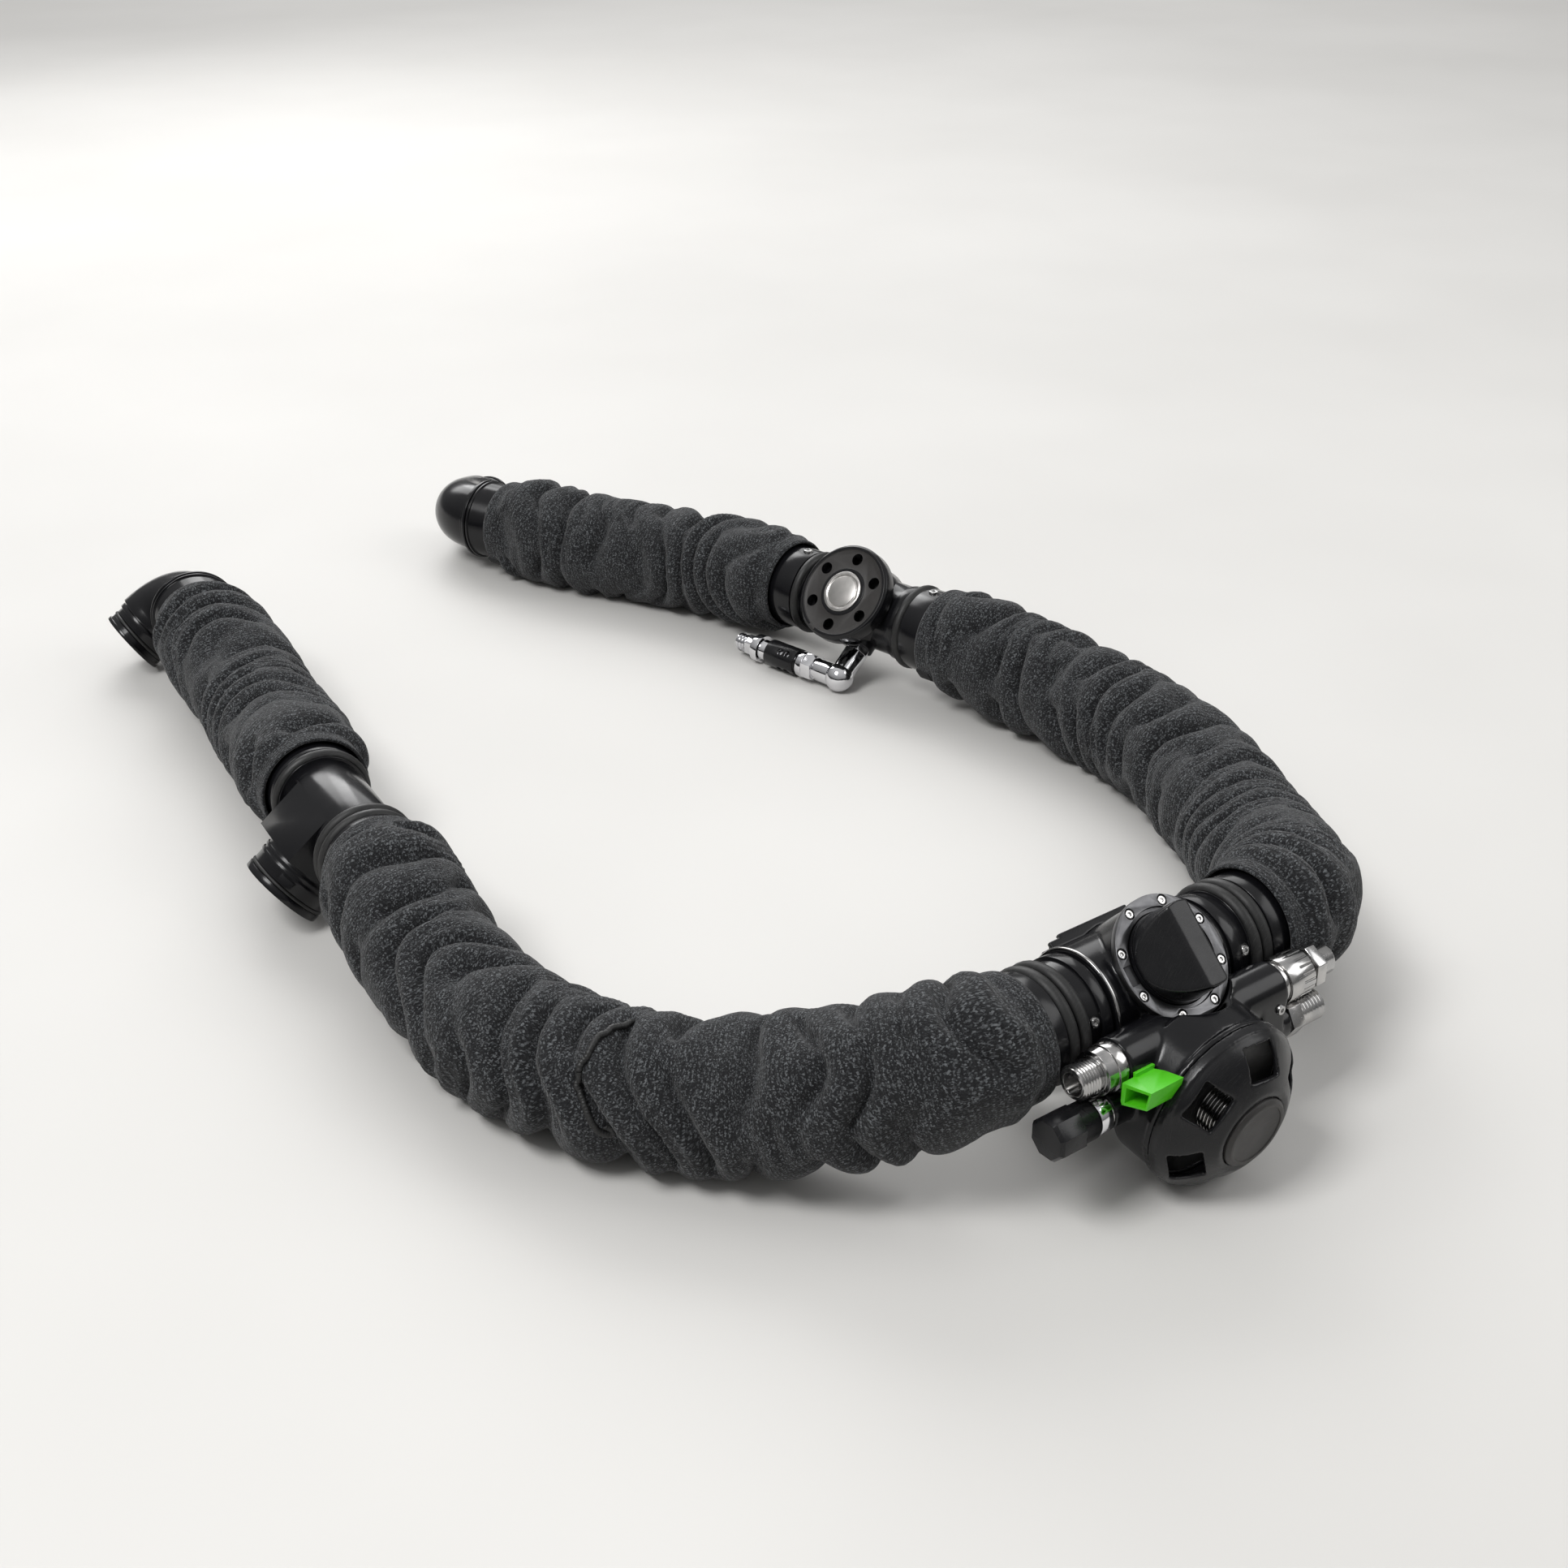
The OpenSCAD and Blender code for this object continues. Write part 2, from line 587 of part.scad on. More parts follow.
module valve_body() {
  color(BLACK) difference() {
    union() {
      at_bov() along_x() translate([0, 0, -house_half]) cylinder(r = house_r, h = 2 * house_half);
      at_lever() translate([0, 0, boss_base]) cylinder(r = ring_r - 1, h = ring_z - boss_base);
      at_mouth() cylinder(r = mouth_r, h = mouth_len);
      at_stage() {
        translate([0, 0, -stage_depth + 9]) cylinder(r = stage_r - 1, h = stage_depth - 9);
        translate([0, 0, -stage_depth]) cylinder(r1 = stage_r - 10, r2 = stage_r - 1, h = 9);
        translate([0, 0, -2.4]) cylinder(r = stage_r, h = 2.4);
        translate([-stage_at[0], 13, -52]) cylinder(r = neck_r + 2.5, h = 35);
      }
      at_gas(-46) cylinder(r = gas_r, h = 88);
      at_demand(knob_in + 8) cylinder(r = tube_r + 0.8, h = block_x1 - knob_in - 8);
      at_bov() translate([block_x0, demand_y - 7.5, demand_z])
        cube([block_x1 - block_x0 - 6, 15, gas_z - demand_z]);
    }
    at_bov() along_x() translate([0, 0, -house_half - 1]) cylinder(r = air_r, h = 2 * house_half + 2);
    at_lever() {
      translate([0, 0, -house_r + 3]) cylinder(r = rotor_r + run_fit, h = ring_z + house_r);
      translate([0, 0, ring_z - 4.4]) cylinder(r = flange_r + 0.4, h = 5);
      translate([0, 0, ring_z]) cylinder(r = ring_r + 0.6, h = 20);
    }
    at_mouth() cylinder(r = 13, h = mouth_len + 1);
    at_stage() {
      translate([0, 0, -stage_depth + 2.4]) cylinder(r = stage_r - 11, h = stage_depth);
      translate([0, 0, -stage_depth + 9]) cylinder(r = stage_r - 4, h = stage_depth);
      translate([-stage_at[0], 13, -45]) cylinder(r = neck_r - 3, h = 40);
    }
    at_demand(-60) cylinder(r = tube_r, h = 130);
    at_gas(-47) cylinder(r = 4, h = 15);
    at_gas(block_x0 + 4) cylinder(r = 4, h = 20);
    at_bov() translate([block_x0 + 7, demand_y, demand_z]) rotate([-11, 0, 0]) cylinder(r = 2.5, h = 16);
  }
}
mouth_r = 17;
mouth_len = 31;
module half_barrel(side) {
  color(BLACK) at_bov() rotate([0, 0, side < 0 ? 180 : 0]) along_x() difference() {
    union() {
      translate([0, 0, house_half]) cylinder(r = barrel_r, h = barrel_half - house_half);
      translate([0, 0, house_half + 2]) cylinder(r = barrel_r + 1.4, h = 5);
      spigot(barrel_half);
    }
    translate([0, 0, house_half - 1]) cylinder(r = air_r, h = barrel_half + spigot_len);
    translate([0, 0, barrel_half - 3]) rotate([0, -90, side < 0 ? -70 : 70]) translate([0, 0, barrel_r - 0.2]) cylinder(r = 2.4, h = 3);
  }
}
module left_barrel() { half_barrel(-1); }
module right_barrel() { half_barrel(1); }
module seam_ring() {
  color(STEEL) difference() {
    at_bov() along_x() ring(house_r + 0.8, house_r, -house_half, -house_half + 1.6);
    at_gas(-50) cylinder(r = gas_r + 0.1, h = 60);
    at_stage() translate([0, 0, -stage_depth]) cylinder(r = stage_r - 0.9, h = stage_depth);
  }
}
module barrel_seals() {
  color(RUBBER) at_bov() for (s = [0, 180]) rotate([0, 0, s]) along_x() spigot_seals(barrel_half);
}
module check_valves() {
  color(SILICONE) at_bov() for (s = [-1, 1]) translate([s * (barrel_half + 4), 0, 0]) along_x() difference() {
    cylinder(r = air_r, h = 2);
    for (a = [0:4]) rotate([0, 0, 72 * a]) translate([air_r - 6.7, 0, -1]) cylinder(r = air_r / 4, h = 4, $fn = 32);
  }
}
module retaining_ring() {
  color(STEEL) at_lever() difference() {
    translate([0, 0, ring_z]) cylinder(r = ring_r, h = ring_t);
    translate([0, 0, ring_z - 1]) cylinder(r = flange_r - 1.2, h = ring_t + 2);
    translate([0, 0, ring_z + 1.4]) cylinder(r = flange_r + 0.4, h = ring_t);
    for (a = [1:ring_screws]) rotate([0, 0, 360 * (a + 0.5) / ring_screws])
      translate([(ring_r + flange_r) / 2 + 0.2, 0, ring_z + 1.6]) cylinder(r = 2.3, h = 3, $fn = 32);
    translate([-flange_r - 4, -4, ring_z + 1.4]) cube([4, 8, 3]);
  }
}
module rotor() {
  color(BLACK) at_lever() difference() {
    union() {
      translate([0, 0, -house_r + 3 + face_gap]) cylinder(r = rotor_r, h = ring_z + house_r - 3 - face_gap);
      translate([0, 0, ring_z - 4]) cylinder(r = flange_r - 0.2, h = 4 - face_gap);
      translate([0, 0, ring_z - 1]) cylinder(r = flange_r - 1.6, h = ring_t + 1);
    }
    along_x() translate([0, 0, -30]) cylinder(r = air_r - 1, h = 60);
    mirror([0, 0, 1]) cylinder(r = 12, h = 30);
  }
}
module lever_knob() {
  r = flange_r - 1.6;
  slope = atan2(r - lever_w / 2 - 1, lever_h - 2);
  color(BLACK) at_lever() translate([0, 0, ring_z + ring_t]) difference() {
    cylinder(r1 = r, r2 = r - 0.8, h = lever_h);
    for (s = [-1, 1]) translate([s * (lever_w / 2), 0, lever_h]) rotate([0, s * (90 - slope) + 0, 0])
      translate([s > 0 ? 0 : -40, -30, s > 0 ? 0 : 0]) cube([40, 60, 30]);
  }
}
module hud_rail() {
  color(BLACK) difference() {
    at_bov() translate([-26, 0, 0]) rotate([-62, 0, 0]) translate([0, 0, house_r - 1]) difference() {
      translate([0, -4.5, 0]) cube([44, 9, 6]);
      translate([-1, -2.4, 3]) cube([46, 4.8, 4]);
      translate([-1, -5, 4.4]) cube([7, 10, 4]);
    }
    at_bov() along_x() translate([0, 0, -house_half - 1]) cylinder(r = house_r, h = 2 * house_half + 2);
    at_lever() translate([0, 0, boss_base]) cylinder(r = ring_r - 1, h = ring_z - boss_base);
  }
}
module mouthpiece() {
  color(SILICONE) at_mouth() difference() {
    union() {
      translate([0, 0, house_r + 1]) cylinder(r = mouth_r + 2.5, h = 10);
      translate([0, 0, house_r + 11]) stadium(46, 26, 17);
      translate([0, 0, house_r + 28]) stadium(66, 34, 2.6);
      for (s = [-1, 1]) translate([s * 21, 0, house_r + 30.6]) bite_tab();
    }
    cylinder(r = mouth_r, h = mouth_len);
    translate([0, 0, mouth_len - 1]) stadium(40, 20, 30);
  }
}
module bite_tab() {
  translate([-5, -11, -0.1]) cube([10, 22, 3.1]);
  translate([-2, -11, 3]) cube([4, 22, 14]);
  translate([-5, -11, 17]) cube([10, 22, 4.3]);
}
module mouthpiece_tie() {
  color(BLACK) at_mouth() {
    ring(mouth_r + 4, mouth_r + 2.5, house_r + 3, house_r + 8);
    translate([mouth_r + 3, -3.5, house_r + 3]) cube([4.5, 7, 5]);
  }
}

// ---------- second stage ----------

module stage_cover() {
  skirt = 4.5;
  r0 = stage_r;
  r1 = purge_r + 3;
  t = 2.4;
  color(BLACK) at_stage() difference() {
    union() {
      cylinder(r = r0, h = skirt);
      translate([0, 0, skirt]) dome(r0 - 0.8, r1, dome_h - skirt);
    }
    translate([0, 0, -0.01]) cylinder(r = r0 - 2.6, h = skirt);
    translate([0, 0, skirt - 0.02]) dome(r0 - 0.8 - t, r1 - t + 1, dome_h - skirt - t);
    cylinder(r = purge_r + run_fit, h = dome_h + 2);
    for (a = [1:windows]) rotate([0, 0, 360 * a / windows + 22]) translate([r1 + 5.3, 0, skirt])
      rotate([0, 24, 0]) translate([-4.6, -6, -4]) cube([10, 12, 24]);
  }
}
// A dome in two cones
module dome(r0, r1, h) {
  cylinder(r1 = r0, r2 = r0 - (r0 - r1) * 0.35, h = h * 0.55);
  translate([0, 0, h * 0.55]) cylinder(r1 = r0 - (r0 - r1) * 0.35, r2 = r1, h = h * 0.45);
}
button_skirt = 7;
module purge_button() {
  color(GREY) at_stage() difference() {
    union() {
      translate([0, 0, dome_h - button_skirt]) cylinder(r = purge_r, h = button_skirt + 0.6);
      translate([0, 0, dome_h + 0.6]) cylinder(r1 = purge_r, r2 = purge_r - 1.4, h = 1.4);
      translate([0, 0, dome_h - button_skirt]) cylinder(r = purge_r + 1.4, h = 1.6);
    }
    translate([0, 0, dome_h - button_skirt - 1]) cylinder(r = purge_r - 2, h = button_skirt - 0.6);
    translate([0, 0, dome_h + 1.5]) cylinder(r = purge_r - 3, h = 1);
  }
}
module purge_spring() {
  z1 = dome_h - 1.7;
  turns = ceil(z1 / 1.9);
  color(STEEL) at_stage() for (k = [0:turns]) seal(11, 0.7, 0.9 + k * (z1 - 1.6) / turns);
}
module stage_diaphragm() {
  color(RUBBER) at_stage() {
    translate([0, 0, -1.6]) cylinder(r = stage_r - 4, h = 1.4);
    translate([0, 0, -0.3]) cylinder(r = 14, h = 0.5);
  }
}
// The demand lever lies under the diaphragm, its fork on the valve tube
function in_stage(y, z) =
  let (dy = y - stage_at[1], dz = z - stage_at[2])
  [-stage_at[0], dy * cos(stage_tilt) + dz * sin(stage_tilt), dz * cos(stage_tilt) - dy * sin(stage_tilt)];
lever_pivot = in_stage(demand_y, demand_z);
module demand_lever() {
  color(STEEL) at_stage() difference() {
    union() {
      translate([lever_pivot[0] - 4, lever_pivot[1] - 18, -3.4]) cube([8, 7, 1.2]);
      translate([lever_pivot[0] - 1, lever_pivot[1] - 18, lever_pivot[2] + 3]) cube([2, 18, -6.3 - lever_pivot[2]]);
      translate(lever_pivot - [5, 0, 0]) along_x() cylinder(r = tube_r + 1.6, h = 10);
    }
    translate(lever_pivot - [6, 0, 0]) along_x() cylinder(r = tube_r + run_fit, h = 12);
  }
}
module valve_tube() {
  color(STEEL) at_demand(0) difference() {
    translate([0, 0, knob_in + 1]) cylinder(r = tube_r - 0.02, h = block_x1 - knob_in - 1);
    translate([0, 0, knob_in]) cylinder(r = 4.5, h = 3 - knob_in);
    translate([0, 0, -16]) cylinder(r = 2.5, h = 70);
    translate([0, 0, 2]) along_x() cylinder(r = 2, h = 9, $fn = 24);
  }
}
knob_in = -61;
module adjusting_knob() {
  color(BLACK) at_demand(knob_in - knob_len) difference() {
    union() {
      rotate([0, 0, 22.5]) translate([0, 0, 1.5]) cylinder(r = knob_af / 2 / cos(22.5), h = knob_len - 9.5, $fn = 8);
      rotate([0, 0, 22.5]) cylinder(r1 = knob_af / 2 / cos(22.5) - 1.2, r2 = knob_af / 2 / cos(22.5), h = 1.5, $fn = 8);
      translate([0, 0, knob_len - 8]) cylinder(r = knob_af / 2 - 0.6, h = 8);
      cylinder(r = 4.5 - run_fit, h = knob_len + 11);
    }
  }
}
module knob_clip() {
  color(CHROME) at_demand(knob_in + 1) difference() {
    ring(tube_r + 1, tube_r, 0, 6);
    translate([0, -1, -1]) cube([12, 2, 8]);
  }
}

// ---------- gas fittings ----------

module gas_inlet() {
  color(STEEL) at_gas(-67) difference() {
    union() {
      cylinder(r = thread_r - 0.9, h = 12);
      for (k = [0:5]) translate([0, 0, 0.6 + k * thread_pitch]) {
        cylinder(r1 = thread_r - 0.9, r2 = thread_r, h = thread_pitch * 0.4);
        translate([0, 0, thread_pitch * 0.4]) cylinder(r1 = thread_r, r2 = thread_r - 0.9, h = thread_pitch * 0.4);
      }
      translate([0, 0, 10.5]) cylinder(r = thread_r, h = 1.6);
      translate([0, 0, 11]) cylinder(r = gas_r - 1.6, h = 10);
      translate([0, 0, 16]) cylinder(r = gas_r - 0.9, h = 5);
    }
    translate([0, 0, -1]) cylinder(r = 4, h = 24);
    translate([0, 0, -1]) cylinder(r = 4.6, h = 11);
  }
}
module gas_coupling() {
  color(STEEL) at_gas(42) difference() {
    union() {
      cylinder(r = gas_r - 1.5, h = 3);
      translate([0, 0, 20.2]) cylinder(r = gas_r - 1.2, h = 5.4, $fn = 6);
      translate([0, 0, 25]) cylinder(r = 6.4, h = 8);
      cylinder(r = 6, h = 25);
    }
    translate([0, 0, -1]) cylinder(r = 3.2, h = 44);
  }
}
sleeve_len = 14;
module coupling_sleeve() {
  color(BLACK) at_gas(45.3) difference() {
    cylinder(r = gas_r - 0.9, h = sleeve_len);
    translate([0, 0, -1]) cylinder(r = 6 + run_fit, h = 20);
    for (a = [0:17]) rotate([0, 0, 20 * a]) translate([gas_r - 0.3, 0, 7]) cylinder(r = 0.9, h = 9, $fn = 12);
  }
}
module union_nut() {
  color(STEEL) at_demand(block_x1) difference() {
    union() {
      rotate([0, 0, 30]) cylinder(r = tube_r + 1.8, h = 7, $fn = 6);
      translate([0, 0, 6.5]) cylinder(r = 6.1, h = 14.5);
      for (k = [0:6]) translate([0, 0, 8.4 + 1.8 * k]) cylinder(r1 = 6.1, r2 = 6.8, h = 0.9);
    }
    translate([0, 0, -1]) cylinder(r = 3, h = 24);
    translate([0, 0, 11]) cylinder(r = 4, h = 12);
  }
}
// The steel ring's screws, the cover block's two, and the locking screws that hold the fittings in their connectors
module small_screws() {
  color(STEEL) {
    at_lever() for (a = [1:ring_screws]) rotate([0, 0, 360 * (a + 0.5) / ring_screws])
      translate([(ring_r + flange_r) / 2 + 0.2, 0, ring_z + 1.6]) screw_head(2.1, 1.2);
    at_bov() for (s = [0, 1])
      translate([block_x0 + 4 + 6 * s, demand_y - 7.5, demand_z + 4 + 9 * s])
        rotate([90, 0, 0]) screw_head(2.3, 1.2);
    at_bov() for (s = [-1, 1]) translate([s * (barrel_half - 3), 0, 0]) rotate([70, 0, 0])
      translate([0, 0, barrel_r - 0.2]) screw_head(2.4, 1.2);
    for (p = [adv_port_a, adv_port_b]) translate(p[0]) rotate([0, 0, p[1]])
      translate([pin_at, 0, collar_r - 0.2]) screw_head(2.8, 1.3);
  }
}
clip_t = 1.5;
clip_at = -45.7;
clip_len = 10;
cell_from = -52;
cell_len = 17;
// The outline of the wide cell across the barrel, the inside of it, and the round cell's place
cell_outer = [[-0.2, -gas_r - 0.5], [-3.4, -gas_r - 15], [5.2, -gas_r - 13.5], [9.6, -gas_r - 0.5]];
cell_inner = [[0.9, -gas_r - 2.7], [-1.9, -gas_r - 13.8], [4.4, -gas_r - 12.6], [7.8, -gas_r - 2.4]];
small_cell = [9.6, -gas_r + 0.8];
module green_clip() {
  color(GREEN) difference() {
    union() {
      at_gas(clip_at) linear_extrude(clip_len) {
        intersection() {
          circle(r = gas_r + clip_t);
          polygon([[0, 0], [-3.5, -20], [20, -20], [16.4, -11.5]]);
        }
        translate(small_cell) circle(r = 3);
      }
      at_gas(cell_from) linear_extrude(cell_len) difference() {
        polygon(cell_outer);
        circle(r = gas_r + 0.4);
      }
    }
    at_gas(clip_at - 1) cylinder(r = gas_r, h = clip_len + 2);
    at_gas(cell_from - 1) linear_extrude(cell_len + 2) polygon(cell_inner);
    at_gas(clip_at - 8) linear_extrude(clip_len + 9) translate(small_cell) circle(r = 1.9);
    at_demand(-60) cylinder(r = tube_r + 0.9, h = 60);
    at_stage() translate([0, 0, -40]) cylinder(r = stage_r + 0.4, h = 90);
  }
}

// ---------- the assembly ----------

left_elbow();
left_elbow_seals();
right_elbow();
right_elbow_seals();
tee_body();
tee_seals();
hose(HOSES[0]);  // hose_1
hose(HOSES[1]);  // hose_2
hose(HOSES[2]);  // hose_3
hose(HOSES[3]);  // hose_4
cover(HOSES[0], 0);  // cover_1
cover(HOSES[1], 1);  // cover_2
cover(HOSES[2], 2);  // cover_3
cover(HOSES[3], 3);  // cover_4
connector(0, 0);  // connector_1a
connector(0, 1);  // connector_1b
connector(1, 0);  // connector_2a
connector(1, 1);  // connector_2b
connector(2, 0);  // connector_3a
connector(2, 1);  // connector_3b
connector(3, 0);  // connector_4a
connector(3, 1);  // connector_4b
bumper_rings();
adv_body();
adv_seals();
adv_cap();
adv_button();
adv_spring();
adv_diaphragm();
shutoff_stud();
shutoff_elbow();
shutoff_body();
shutoff_slider();
valve_body();
left_barrel();
right_barrel();
seam_ring();
barrel_seals();
retaining_ring();
rotor();
lever_knob();
hud_rail();
mouthpiece();
mouthpiece_tie();
check_valves();
stage_cover();
purge_button();
purge_spring();
stage_diaphragm();
demand_lever();
valve_tube();
adjusting_knob();
knob_clip();
gas_inlet();
gas_coupling();
coupling_sleeve();
union_nut();
small_screws();
green_clip();
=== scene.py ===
"""Breathing loop of a closed-circuit diving set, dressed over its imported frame."""
import json
import logging
import math
from dataclasses import dataclass, field
from enum import Enum
from typing import Sequence

import bmesh
import bpy
from mathutils import Matrix, Vector, noise

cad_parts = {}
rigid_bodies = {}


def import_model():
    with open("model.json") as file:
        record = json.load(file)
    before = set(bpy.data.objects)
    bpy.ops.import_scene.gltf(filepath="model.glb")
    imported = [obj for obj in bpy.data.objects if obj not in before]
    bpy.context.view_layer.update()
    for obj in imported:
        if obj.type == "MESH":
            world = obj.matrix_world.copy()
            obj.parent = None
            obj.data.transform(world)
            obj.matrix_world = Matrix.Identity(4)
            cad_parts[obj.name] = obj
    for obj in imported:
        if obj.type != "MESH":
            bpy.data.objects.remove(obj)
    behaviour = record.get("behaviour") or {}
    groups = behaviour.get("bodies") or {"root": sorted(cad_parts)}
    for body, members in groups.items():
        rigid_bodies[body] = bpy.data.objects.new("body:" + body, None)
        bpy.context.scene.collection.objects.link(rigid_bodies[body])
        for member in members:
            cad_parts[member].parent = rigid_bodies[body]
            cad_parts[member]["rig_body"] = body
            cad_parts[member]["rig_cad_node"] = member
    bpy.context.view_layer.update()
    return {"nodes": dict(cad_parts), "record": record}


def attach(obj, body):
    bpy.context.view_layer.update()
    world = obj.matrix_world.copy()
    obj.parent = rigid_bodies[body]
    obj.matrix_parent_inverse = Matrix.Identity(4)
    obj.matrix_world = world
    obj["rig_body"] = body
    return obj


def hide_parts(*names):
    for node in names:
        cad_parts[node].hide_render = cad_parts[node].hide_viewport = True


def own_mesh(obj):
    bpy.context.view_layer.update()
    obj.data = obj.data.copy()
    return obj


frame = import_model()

LOG = logging.getLogger("breathing_loop")
MM = 0.001
SMOOTH_ANGLE = math.radians(34.0)

Point = tuple[float, float, float]


# ---------------------------------------------------------------- shader groups


class Group:
    """A shader node group with named inputs and outputs, built once."""

    def __init__(self, name: str, inputs: dict[str, float], outputs: Sequence[str]) -> None:
        """Makes the empty group and its sockets.

        Args:
            name: Name of the group.
            inputs: Input names and their starting values.
            outputs: Output names; one called Color is a colour.
        """
        self.tree = bpy.data.node_groups.new(name, "ShaderNodeTree")
        for key, value in inputs.items():
            kind = "NodeSocketVector" if key == "Vector" else "NodeSocketFloat"
            socket = self.tree.interface.new_socket(key, in_out="INPUT", socket_type=kind)
            if kind == "NodeSocketFloat":
                socket.default_value = value
        for key in outputs:
            kind = "NodeSocketColor" if key == "Color" else "NodeSocketFloat"
            self.tree.interface.new_socket(key, in_out="OUTPUT", socket_type=kind)
        self.source = self.tree.nodes.new("NodeGroupInput").outputs
        self.sink = self.tree.nodes.new("NodeGroupOutput").inputs

    def add(self, kind: str, **settings: object) -> bpy.types.Node:
        """Adds a node to the group and returns it, with its settings made."""
        return add_node(self.tree, kind, **settings)

    def join(self, a: bpy.types.NodeSocket, b: bpy.types.NodeSocket) -> None:
        """Links one socket to another."""
        self.tree.links.new(a, b)

    def math(self, how: str, a: object, b: object = 0.0) -> bpy.types.NodeSocket:
        """Adds a Math node and returns its output."""
        return math_node(self.tree, how, a, b)


def add_node(tree: bpy.types.NodeTree, kind: str, **settings: object) -> bpy.types.Node:
    """Adds a node and sets its properties or inputs by name.

    Args:
        tree: Tree that gets the node.
        kind: Node type without its ShaderNode start.
        settings: Properties, or inputs with spaces written as underscores.

    Returns:
        The new node.
    """
    node = tree.nodes.new("ShaderNode" + kind)
    for key, value in settings.items():
        if hasattr(node, key):
            setattr(node, key, value)
        else:
            node.inputs[key.replace("_", " ")].default_value = value
    return node


def math_node(tree: bpy.types.NodeTree, how: str, a: object, b: object = 0.0) -> bpy.types.NodeSocket:
    """Adds a Math node to a tree.

    Args:
        tree: Tree that gets the node.
        how: The operation; MULTIPLY_ADD adds a half.
        a: First value or socket.
        b: Second value or socket.

    Returns:
        The node's output socket.
    """
    node = tree.nodes.new("ShaderNodeMath")
    node.operation = how
    if how == "MULTIPLY_ADD":
        node.inputs[2].default_value = 0.5
    for socket, value in zip(node.inputs, (a, b)):
        if isinstance(value, bpy.types.NodeSocket):
            tree.links.new(value, socket)
        else:
            socket.default_value = float(value)
    return node.outputs[0]


def build_grain_group() -> Group:
    """Builds the fine grain that moulded and anodised surfaces share.

    Returns:
        A group with Mask (slow patches, 0 to 1) and Height (fine grain).
    """
    g = Group("SurfaceGrain", {"Vector": 0.0, "Patch": 60.0, "Fine": 1500.0}, ("Mask", "Height"))
    slow = g.add("TexNoise", Detail=3.0, Roughness=0.55)
    fine = g.add("TexNoise", Detail=2.0, Roughness=0.6)
    for node, key in ((slow, "Patch"), (fine, "Fine")):
        g.join(g.source["Vector"], node.inputs["Vector"])
        g.join(g.source[key], node.inputs["Scale"])
    ramp = g.add("MapRange", From_Min=0.35, From_Max=0.65)
    g.join(slow.outputs[0], ramp.inputs[0])
    g.join(ramp.outputs[0], g.sink["Mask"])
    g.join(fine.outputs[0], g.sink["Height"])
    return g


SCRATCH_TURNS = (0.3, 1.4, 2.3)
SCRATCH_TILT = (1.7, 0.6)
SCRATCH_STRETCH = 14.0
SCRATCH_FLOOR = 0.62
SCRATCH_GAIN = 9.0


def build_scratch_group() -> Group:
    """Builds fine random scratches and rubbed spots for bare and coated metal.

    Returns:
        A group with Mask, 1 where the surface is rubbed.
    """
    g = Group("RubbedMetal", {"Vector": 0.0, "Scale": 220.0, "Amount": 0.5}, ("Mask",))
    total: object = 0.0
    for turn in SCRATCH_TURNS:
        about_y, about_z = (turn * share for share in SCRATCH_TILT)
        spin = g.add("Mapping", Rotation=(turn, about_y, about_z), Scale=(1.0, SCRATCH_STRETCH, 1.0))
        g.join(g.source["Vector"], spin.inputs["Vector"])
        lines = g.add("TexNoise", Detail=1.0)
        g.join(spin.outputs[0], lines.inputs["Vector"])
        g.join(g.source["Scale"], lines.inputs["Scale"])
        total = g.math("MAXIMUM", total, g.math("SUBTRACT", lines.outputs[0], SCRATCH_FLOOR))
    strong = g.math("MULTIPLY", total, SCRATCH_GAIN)
    g.join(g.math("MULTIPLY", strong, g.source["Amount"]), g.sink["Mask"])
    return g


KNIT_WOBBLE = 0.0016
ROW_SLANT = 1.1
RIB_CROWN = 0.7
STITCH_SHARE = 0.45
CROWN_HEIGHT = 0.55
YARN_HEIGHT = 0.45


